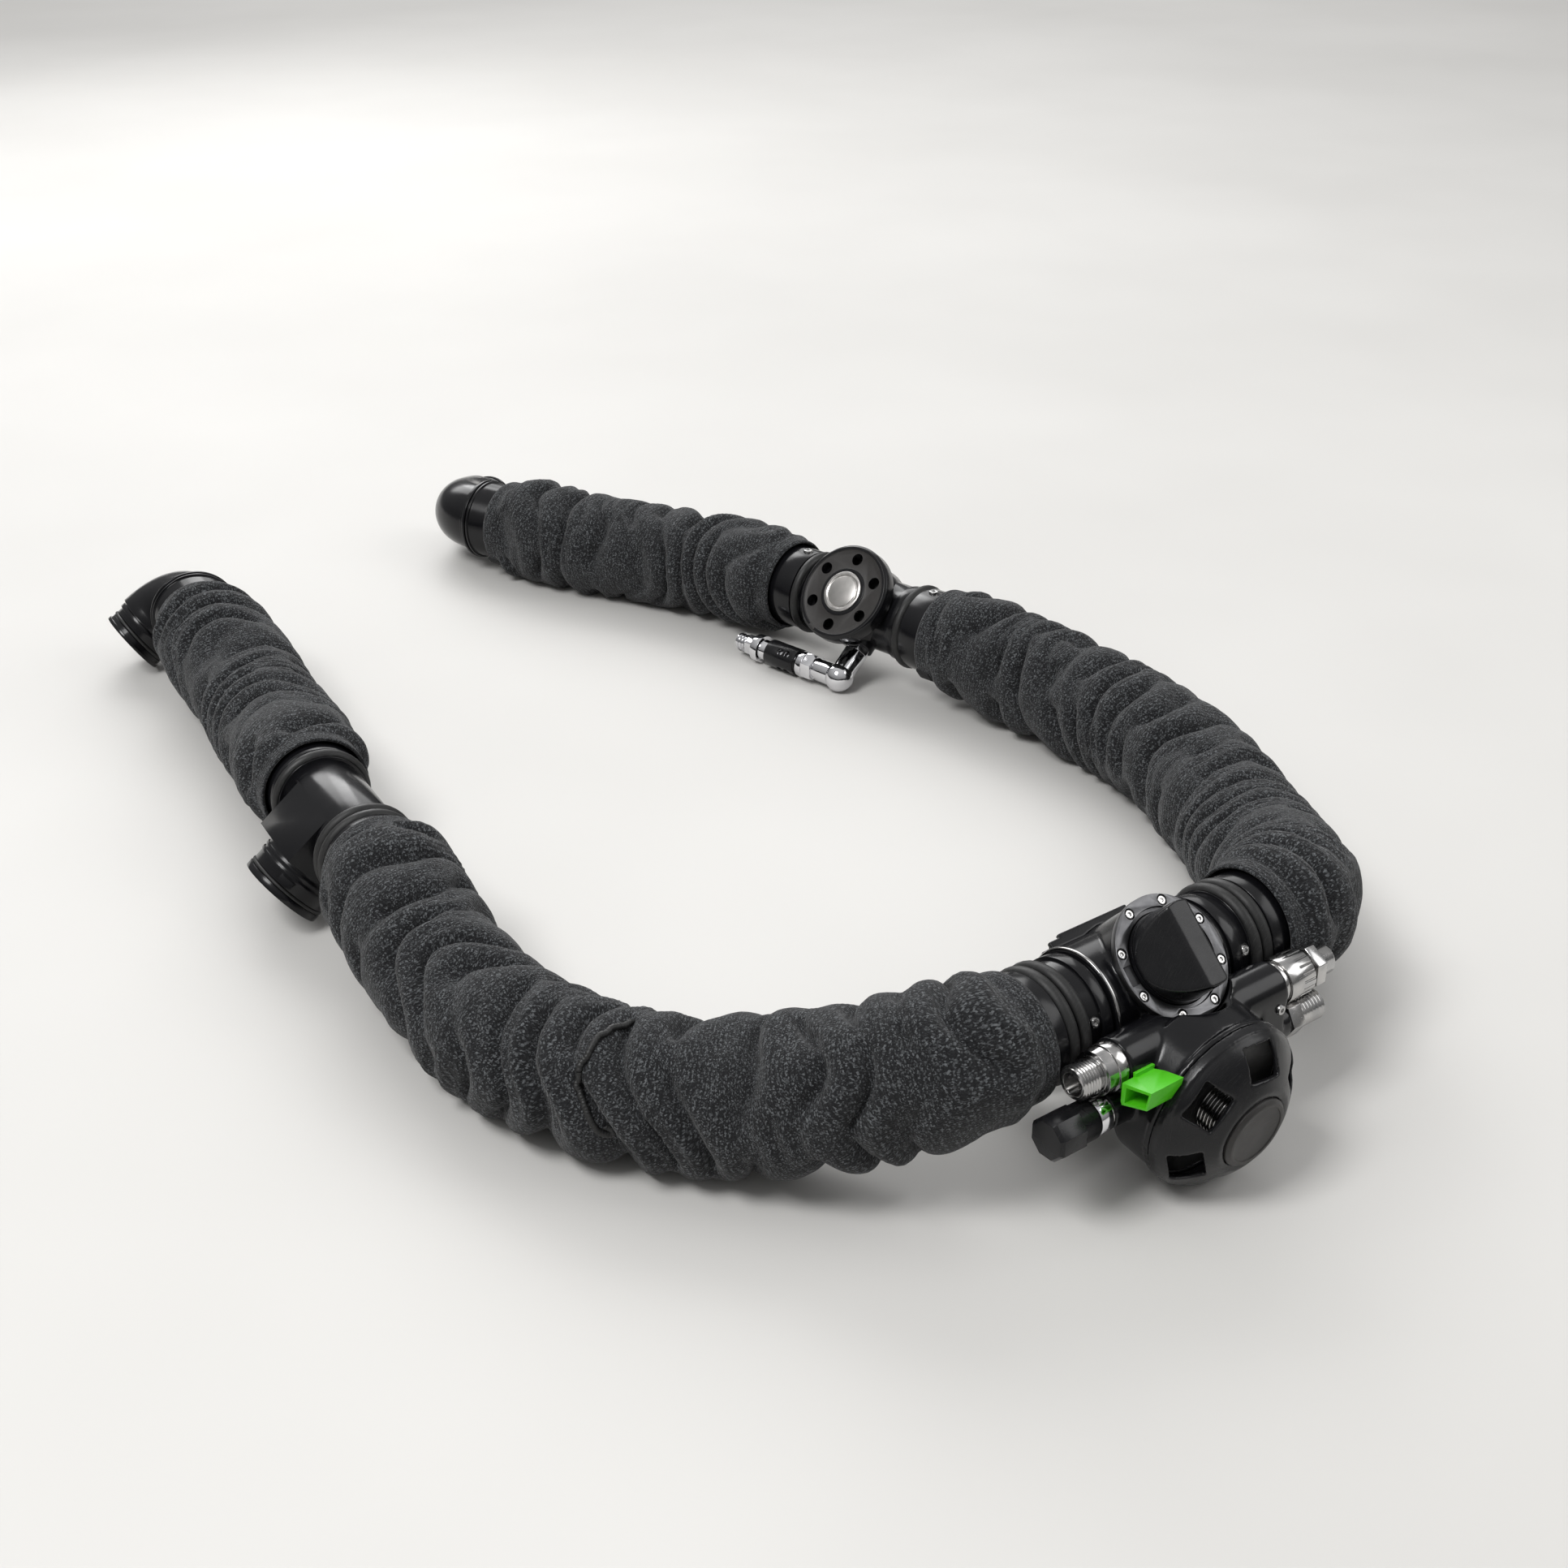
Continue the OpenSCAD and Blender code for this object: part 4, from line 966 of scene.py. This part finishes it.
@dataclass
class CordEdge:
    """An elastic cord sewn to a sleeve along a slit's edge; sizes in mm."""

    sleeve: Sleeve
    path: tuple[tuple[float, float], ...]
    spacing: float = 1.0
    radius: float = 1.35
    valley: float = 0.9
    rib: float = 1.7
    rib_height: float = 0.16
    step: float = 0.42
    ease: float = 1.5
    around: int = 12
    girth: float = 8.0

    def build(self, palette: Palette) -> bpy.types.Object:
        """Makes the cord.

        Args:
            palette: The finishes.

        Returns:
            The cord.
        """
        lengths, points = self.sleeve.lengths, []
        for q in smooth_route([Vector((s, degrees, 0.0)) for s, degrees in self.path], self.spacing):
            i = min(range(len(lengths)), key=lambda k: abs(lengths[k] - q.x))
            points.append(self.sleeve.place(i, math.radians(q.y), 0.5 * self.radius))
        points = settle(points, self.step, self.ease)
        rings, uv = [], []
        for i in range(len(points)):
            rib = abs(math.sin(math.pi * self.step * i / self.rib))
            radius = self.radius * (self.valley + self.rib_height * rib)
            rings.append(ring_about(points, i, radius, self.around, level=(0.3, 0.2, 1.0)))
            uv.append(uv_row(self.around, self.girth * MM, self.step * MM * i))
        number = self.sleeve.edges.index(self.path) + 1
        piece = from_grid(f"sleeve_{self.sleeve.number}_cord_{number}", rings, uv)
        take(piece)
        bpy.ops.object.mode_set(mode="EDIT")
        bpy.ops.mesh.select_all(action="DESELECT")
        bpy.ops.mesh.select_non_manifold()
        bpy.ops.mesh.fill_holes(sides=0)
        bpy.ops.object.mode_set(mode="OBJECT")
        palette.hand_in(piece, Finish.SEAL, "seal_rubber")
        return piece


class Hem(Enum):
    """The end of a sleeve at which something is sewn."""

    START = 0
    END = 1


# Pull tabs by sleeve: the hem that they hang from, and degrees round the sleeve
TABS = {3: ((Hem.END, -38.0),), 4: ((Hem.END, -48.0),)}


@dataclass
class HemTab:
    """A short loop of webbing sewn under a sleeve's hem, to pull it on by; sizes in mm."""

    sleeve: Sleeve
    hem: Hem
    angle: float
    width: float = 8.0
    length: float = 9.0
    thick: float = 2.6
    proud: float = 4.5
    sunk: float = 0.6
    edge: float = 0.9
    inset: int = 3

    def build(self, palette: Palette) -> bpy.types.Object:
        """Makes the tab.

        Args:
            palette: The finishes.

        Returns:
            The tab.
        """
        line = self.sleeve.line
        at_start = self.hem is Hem.START
        i = self.inset if at_start else len(line) - 1 - self.inset
        root = self.sleeve.place(i, math.radians(self.angle), -self.sunk)
        along = (line[i] - line[i + (1 if at_start else -1)]).normalized()
        out = (root - line[i]).normalized()
        turn = Matrix((along, out.cross(along).normalized(), out)).transposed()
        deselect_all()
        middle = root + (self.proud - self.length / 2) * along
        bpy.ops.mesh.primitive_cube_add(size=1.0, location=middle * MM, rotation=turn.to_euler(),
                                        scale=(self.length * MM, self.width * MM, self.thick * MM))
        piece = bpy.context.active_object
        piece.name = piece.data.name = f"sleeve_{self.sleeve.number}_tab"
        bpy.ops.object.transform_apply(location=True, rotation=True, scale=True)
        apply_modifier(piece, "BEVEL", width=self.edge * MM, segments=3)
        bpy.ops.object.shade_smooth_by_angle(angle=SMOOTH_ANGLE)
        palette.hand_in(piece, Finish.WEBBING, "knit_fabric")
        return piece


@dataclass
class CorrugatedHose:
    """A breathing hose: a ribbed rubber tube, hidden by its sleeve; sizes in mm."""

    route: Route
    number: int
    outer: float = 21.8
    groove: float = 1.6
    wall: float = 1.8
    rib: float = 4.0
    around: int = 32
    girth: float = 130.0

    def build(self, palette: Palette) -> bpy.types.Object:
        """Makes the hose.

        Args:
            palette: The finishes.

        Returns:
            The hose.
        """
        line = self.route.hose_line(self.rib / 4)
        rings, uv = [], []
        travelled = 0.0
        for i, point in enumerate(line):
            if i:
                travelled += (point - line[i - 1]).length
            wave = 0.5 - 0.5 * math.cos(2 * math.pi * travelled / self.rib)
            rings.append(ring_about(line, i, self.outer - self.groove * wave, self.around))
            uv.append(uv_row(self.around, self.girth * MM, travelled * MM))
        piece = from_grid(f"hose_{self.number}_tube", rings, uv)
        apply_modifier(piece, "SOLIDIFY", thickness=self.wall * MM, offset=-1.0, use_even_offset=False)
        palette.hand_in(piece, Finish.HOSE, "hose_rubber")
        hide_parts(f"hose_{self.number}")
        return piece


# ---------------------------------------------------------------- hard pieces


NODE_FINISH = {
    Finish.ANODISED: ("left_elbow", "right_elbow", "tee_body", "adv_body", "valve_body", "left_barrel",
                      "right_barrel", "hud_rail", "rotor",
                      *(f"connector_{hose}{end}" for hose in (1, 2, 3, 4) for end in "ab")),
    Finish.BLACK: ("stage_cover", "adjusting_knob", "lever_knob", "mouthpiece_tie", "shutoff_slider"),
    Finish.GREY: ("adv_cap", "purge_button"),
    Finish.SEAL: ("left_elbow_seals", "right_elbow_seals", "tee_seals", "adv_seals", "barrel_seals",
                  "bumper_rings", "adv_diaphragm", "stage_diaphragm"),
    Finish.SILICONE: ("mouthpiece", "check_valves"),
    Finish.GREEN: ("green_clip",),
    Finish.CHROME: ("shutoff_stud", "shutoff_elbow", "shutoff_body", "knob_clip"),
    Finish.DULL_STEEL: ("retaining_ring",),
    Finish.STEEL: ("seam_ring", "coupling_sleeve", "small_screws", "gas_inlet", "gas_coupling", "union_nut",
                   "valve_tube", "adv_spring", "purge_spring", "demand_lever"),
    Finish.ALUMINIUM: ("adv_button",),
}
BODY_OF = {node: body for body, nodes in frame["record"]["behaviour"]["bodies"].items() for node in nodes}
SLOT_OF = {part["node"]: part["material_slot"] for part in frame["record"]["subparts"]}


@dataclass(frozen=True)
class Cap:
    """The addition valve's cap, in mm from the valve's middle along the cap's axis."""

    turn: float = 52.0
    top: float = 30.0
    face: float = 28.7
    rim: float = 27.2
    hub: float = 14.3
    ports: int = 6
    port_radius: float = 3.5
    port_circle: float = 20.2
    port_depth: float = 6.0
    spring: tuple[float, float] = (21.3, 25.6)


@dataclass(frozen=True)
class Dome:
    """The second stage's dome, in mm from its case's middle along its axis."""

    at: Point = (-7.0, -53.5, -25.6)
    turn: float = 99.0
    base: float = 4.5
    top: float = 19.5
    foot: float = 35.7
    head: float = 18.5
    skirt: float = 2.0
    step_share: float = 0.65
    step_height: float = 0.55
    curve: float = 1.6
    windows: int = 6
    window_turn: float = 22.0
    window_lean: float = 24.0
    window_circle: float = 23.8
    window_middle: Point = (0.3, 0.0, 8.0)
    window_size: Point = (12.4, 15.6, 24.0)
    window_corner: float = 4.3
    spring: tuple[float, float] = (0.2, 17.8)


@dataclass
class Fittings:
    """The machined and moulded nodes, shown as softened copies with small edge rounds."""

    palette: Palette
    cap: Cap = Cap()
    dome: Dome = Dome()
    weld: float = 0.00001
    flat_angle: float = 2.0
    round_edge: float = 0.0004
    fine_edge: float = 0.00008
    sharp: float = 32.0
    port_sides: int = 32
    button_travel: float = 3.0
    melted: dict[str, tuple[float, int]] = field(default_factory=lambda: {
        "valve_body": (0.0006, 12), "lever_knob": (0.0004, 36), "stage_cover": (0.0005, 12),
        "hud_rail": (0.0004, 5)})
    fine: tuple[str, ...] = ("gas_inlet", "union_nut", "coupling_sleeve", "shutoff_body", "small_screws",
                             "adjusting_knob", "knob_clip")

    def __post_init__(self) -> None:
        """Works out where the cap's and the dome's axes stand."""
        self.cap_place = (Matrix.Translation(Vector(ADDITION.at) * MM)
                          @ Matrix.Rotation(math.radians(ADDITION.heading), 4, "Z")
                          @ Matrix.Rotation(math.radians(self.cap.turn), 4, "X"))
        self.dome_place = (Matrix.Translation(Vector(BAIL_OUT.at) * MM)
                           @ Matrix.Translation(Vector(self.dome.at) * MM)
                           @ Matrix.Rotation(math.radians(self.dome.turn), 4, "X"))

    def copy_of(self, node: str) -> bpy.types.Object:
        """Copies a node and joins its loose triangles.

        Args:
            node: Name of the node.

        Returns:
            The copy.
        """
        source = frame["nodes"][node]
        piece = source.copy()
        piece.data = source.data.copy()
        piece.name = piece.data.name = f"{node}_soft"
        piece.parent = None
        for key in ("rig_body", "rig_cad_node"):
            if key in piece:
                del piece[key]
        bpy.context.scene.collection.objects.link(piece)
        take(piece)
        bpy.ops.object.mode_set(mode="EDIT")
        bpy.ops.mesh.select_all(action="SELECT")
        bpy.ops.mesh.remove_doubles(threshold=self.weld)
        bpy.ops.mesh.dissolve_limited(angle_limit=math.radians(self.flat_angle))
        bpy.ops.object.mode_set(mode="OBJECT")
        return piece

    def press_springs(self, shown: dict[str, bpy.types.Object]) -> None:
        """Gives both return springs a mesh of their own.

        Args:
            shown: The shown pieces by node.
        """
        for node, joint, place, (foot, head) in (
                ("adv_spring", "addition_button_press", self.cap_place, self.cap.spring),
                ("purge_spring", "purge_press", self.dome_place, self.dome.spring)):
            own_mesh(shown[node])

    def round_dome(self, piece: bpy.types.Object) -> None:
        """Swells the second stage's stepped dome into one round curve, with its wall kept.

        Args:
            piece: The cover's copy.
        """
        dome, back = self.dome, self.dome_place.inverted()
        for vertex in piece.data.vertices:
            q = back @ vertex.co / MM
            u = (q.z - dome.base) / (dome.top - dome.base)
            if not 0.0 < u < 1.0 or q.xy.length < dome.head - dome.skirt:
                continue
            if u < dome.step_height:
                cone = 1.0 - (1.0 - dome.step_share) * u / dome.step_height
            else:
                cone = dome.step_share * (1.0 - u) / (1.0 - dome.step_height)
            swell = (dome.foot - dome.head) * ((1.0 - u ** dome.curve) - cone)
            q.xy *= 1.0 + swell / q.xy.length
            vertex.co = self.dome_place @ (q * MM)

    def cut(self, piece: bpy.types.Object, tool: bpy.types.Object) -> None:
        """Cuts a tool out of a piece and removes the tool."""
        apply_modifier(piece, "BOOLEAN", operation="DIFFERENCE", solver="EXACT", object=tool)
        bpy.data.objects.remove(tool)

    def open_windows(self, piece: bpy.types.Object) -> None:
        """Widens the dome's water windows and rounds their corners.

        Args:
            piece: The cover's copy.
        """
        dome = self.dome
        lean = (Matrix.Translation(Vector((dome.window_circle, 0.0, dome.base)) * MM)
                @ Matrix.Rotation(math.radians(dome.window_lean), 4, "Y")
                @ Matrix.Translation(Vector(dome.window_middle) * MM))
        for i in range(dome.windows):
            turn = 2 * math.pi * i / dome.windows + math.radians(dome.window_turn)
            deselect_all()
            bpy.ops.mesh.primitive_cube_add(size=1.0)
            tool = bpy.context.active_object
            tool.data.transform(Matrix.Diagonal(Vector((*dome.window_size, 1.0 / MM)) * MM))
            take(tool)
            bpy.ops.object.mode_set(mode="EDIT")
            mesh = bmesh.from_edit_mesh(tool.data)
            for edge in mesh.edges:
                edge.select_set(edge.calc_length() > (dome.window_size[2] - 1.0) * MM)
            bmesh.update_edit_mesh(tool.data)
            bpy.ops.mesh.bevel(offset=dome.window_corner * MM, segments=6)
            bpy.ops.object.mode_set(mode="OBJECT")
            tool.data.transform(self.dome_place @ Matrix.Rotation(turn, 4, "Z") @ lean)
            self.cut(piece, tool)

    def cut_ports(self, piece: bpy.types.Object) -> None:
        """Opens the addition valve cap's water ports and blackens its rim and hub.

        Args:
            piece: The cap's copy, already dressed.
        """
        cap = self.cap
        depth = cap.port_depth + 1.0
        for i in range(cap.ports):
            turn = 2 * math.pi * (i + 0.5) / cap.ports
            spot = Vector((cap.port_circle * math.cos(turn), cap.port_circle * math.sin(turn),
                           cap.top + 1.0 - depth / 2)) * MM
            deselect_all()
            bpy.ops.mesh.primitive_cylinder_add(vertices=self.port_sides, radius=cap.port_radius * MM,
                                                depth=depth * MM, location=self.cap_place @ spot,
                                                rotation=self.cap_place.to_euler())
            self.cut(piece, bpy.context.active_object)
        piece.data.materials.append(self.palette.materials[Finish.ANODISED])
        back = self.cap_place.inverted()
        for face in piece.data.polygons:
            q = back @ face.center / MM
            if not cap.hub < q.xy.length < cap.rim or q.z < cap.face:
                face.material_index = 1

    def soften(self, node: str, finish: Finish) -> bpy.types.Object:
        """Shows a node as a copy with rounded edges, or cast with fillets.

        Args:
            node: Name of the node.
            finish: What it is made of.

        Returns:
            The shown piece.
        """
        piece = self.copy_of(node)
        if node == "stage_cover":
            self.open_windows(piece)
        if node in self.melted:
            size, passes = self.melted[node]
            apply_modifier(piece, "REMESH", mode="VOXEL", voxel_size=size)
            if node == "stage_cover":
                self.round_dome(piece)
            apply_modifier(piece, "SMOOTH", factor=0.5, iterations=passes)
            bpy.ops.object.shade_smooth()
        else:
            width = self.fine_edge if node in self.fine else self.round_edge
            apply_modifier(piece, "BEVEL", width=width, segments=2, limit_method="ANGLE",
                           angle_limit=math.radians(self.sharp), use_clamp_overlap=True)
            bpy.ops.object.shade_smooth_by_angle(angle=SMOOTH_ANGLE)
        self.palette.hand_in(piece, finish, SLOT_OF[node], BODY_OF[node])
        if node == "adv_cap":
            self.cut_ports(piece)
        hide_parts(node)
        return piece

    def build(self) -> None:
        """Shows every node, softened and dressed."""
        shown = {node: self.soften(node, finish) for finish, nodes in NODE_FINISH.items() for node in nodes}
        self.press_springs(shown)


@dataclass
class LockScrew:
    """A small socket screw that locks a fitting in its hose connector; sizes in mm."""

    port: Fitting
    number: int
    turn: float
    along: float = 10.0
    collar: float = 23.5
    sunk: float = 0.4
    radius: float = 2.3
    height: float = 1.1
    socket: float = 0.62
    socket_depth: float = 0.5
    edge: float = 0.15
    edge_angle: float = 30.0
    facing: float = 0.99
    sides: int = 36

    def build(self, palette: Palette) -> bpy.types.Object:
        """Makes the screw.

        Args:
            palette: The finishes.

        Returns:
            The screw.
        """
        a, heading = math.radians(self.turn), math.radians(self.port.heading)
        out = Vector((-math.sin(heading) * math.cos(a), math.cos(heading) * math.cos(a), math.sin(a)))
        foot = self.port.out(self.along) + (self.collar - self.sunk) * out
        deselect_all()
        bpy.ops.mesh.primitive_cylinder_add(vertices=self.sides, radius=self.radius * MM,
                                            depth=self.height * MM, location=foot * MM,
                                            rotation=out.to_track_quat("Z", "Y").to_euler())
        piece = bpy.context.active_object
        piece.name = piece.data.name = f"elbow_lock_screw_{self.number}"
        bpy.ops.object.transform_apply(location=True, rotation=True, scale=True)
        bpy.ops.object.mode_set(mode="EDIT")
        mesh = bmesh.from_edit_mesh(piece.data)
        for face in mesh.faces:
            face.select_set(face.normal.dot(out) > self.facing)
        bmesh.update_edit_mesh(piece.data)
        bpy.ops.mesh.inset(thickness=self.radius * self.socket * MM)
        sink = out * (-self.socket_depth * self.height * MM)
        bpy.ops.mesh.extrude_region_move(TRANSFORM_OT_translate={"value": sink})
        bpy.ops.object.mode_set(mode="OBJECT")
        apply_modifier(piece, "BEVEL", width=self.edge * MM, segments=2, limit_method="ANGLE",
                       angle_limit=math.radians(self.edge_angle))
        bpy.ops.object.shade_smooth_by_angle(angle=SMOOTH_ANGLE)
        palette.hand_in(piece, Finish.STEEL, SLOT_OF["small_screws"])
        return piece


# ---------------------------------------------------------------- studio


@dataclass(frozen=True)
class Lamp:
    """A square soft lamp; sizes in metres and watts."""

    name: str
    place: Point
    size: float
    power: float

    def build(self, aim: Vector) -> None:
        """Hangs the lamp.

        Args:
            aim: Point that it looks at.
        """
        data = bpy.data.lights.new(self.name, "AREA")
        data.size, data.energy = self.size, self.power
        lamp = bpy.data.objects.new(self.name, data)
        lamp.location = self.place
        lamp.rotation_euler = (aim - lamp.location).to_track_quat("-Z", "Y").to_euler()
        bpy.context.scene.collection.objects.link(lamp)


@dataclass
class Studio:
    """Camera, floor, soft lights and a sky that is brighter overhead."""

    eye: Point = (-0.572, -0.815, 0.531)
    heading: float = -38.0
    pitch: float = 27.6
    lens: float = 50.0
    sensor: float = 36.0
    clip: tuple[float, float] = (0.01, 50.0)
    aim: Point = (0.0, 0.0, 0.05)
    floor_size: float = 14.0
    floor_colors: tuple[Point, Point] = ((0.62, 0.61, 0.59), (0.66, 0.65, 0.63))
    floor_rough: float = 0.7
    lamps: tuple[Lamp, ...] = (
        Lamp("key", (-1.3, -0.2, 1.9), 0.8, 30.0), Lamp("fill", (1.3, -1.2, 1.3), 1.2, 10.0),
        Lamp("rim", (0.5, 1.9, 1.3), 1.2, 18.0), Lamp("far", (2.6, 3.6, 3.2), 3.2, 75.0))

    def camera(self) -> None:
        """Places the camera."""
        data = bpy.data.cameras.new("Camera")
        data.lens, data.sensor_width = self.lens, self.sensor
        data.clip_start, data.clip_end = self.clip
        camera = bpy.data.objects.new("Camera", data)
        camera.location = self.eye
        camera.rotation_euler = (math.radians(90.0 - self.pitch), 0.0, math.radians(self.heading))
        bpy.context.scene.collection.objects.link(camera)
        bpy.context.scene.camera = camera

    def floor(self) -> None:
        """Lays a pale floor under the loop."""
        deselect_all()
        bpy.ops.mesh.primitive_plane_add(size=self.floor_size, location=(0.0, 0.0, 0.0))
        floor = bpy.context.active_object
        floor.name = "floor"
        m = Base("pale_floor")
        grain = m.use(GRAIN, Patch=2.0, Fine=60.0)
        m.wire(m.blend_color(grain.outputs["Mask"], *self.floor_colors), "Base Color")
        m.shader.inputs["Roughness"].default_value = self.floor_rough
        floor.data.materials.append(m.material)

    def sky(self) -> None:
        """Sets a white sky whose strength grows with height."""
        world = bpy.data.worlds.new("World")
        world.use_nodes = True
        tree = world.node_tree
        color, strength = tree.nodes["Background"].inputs[:2]
        color.default_value = (1.0, 1.0, 1.0, 1.0)
        height = add_node(tree, "SeparateXYZ")
        tree.links.new(add_node(tree, "TexCoord").outputs["Generated"], height.inputs[0])
        glow = add_node(tree, "MapRange", From_Min=0.05, From_Max=0.9, To_Min=0.16, To_Max=0.62)
        tree.links.new(height.outputs[2], glow.inputs[0])
        tree.links.new(glow.outputs[0], strength)
        bpy.context.scene.world = world

    def build(self) -> None:
        """Builds the studio."""
        self.camera()
        self.floor()
        for lamp in self.lamps:
            lamp.build(Vector(self.aim))
        self.sky()
        bpy.context.scene.view_settings.view_transform = "Standard"


# ---------------------------------------------------------------- main


def main() -> None:
    """Builds the loop in order, and reports each step."""
    logging.basicConfig(level=logging.INFO)
    palette = Palette()
    for number, route in enumerate(ROUTES, start=1):
        CorrugatedHose(route, number).build(palette)
        sleeve = Sleeve(route, number, edges=SLITS.get(number, ()))
        sleeve.build(palette)
        for hem, angle in TABS.get(number, ()):
            HemTab(sleeve, hem, angle).build(palette)
    Fittings(palette).build()
    LockScrew(LEFT_ELBOW.port(-1, ELBOW_FACE), 1, 200.0).build(palette)
    Studio().build()


if __name__ == "__main__":
    main()
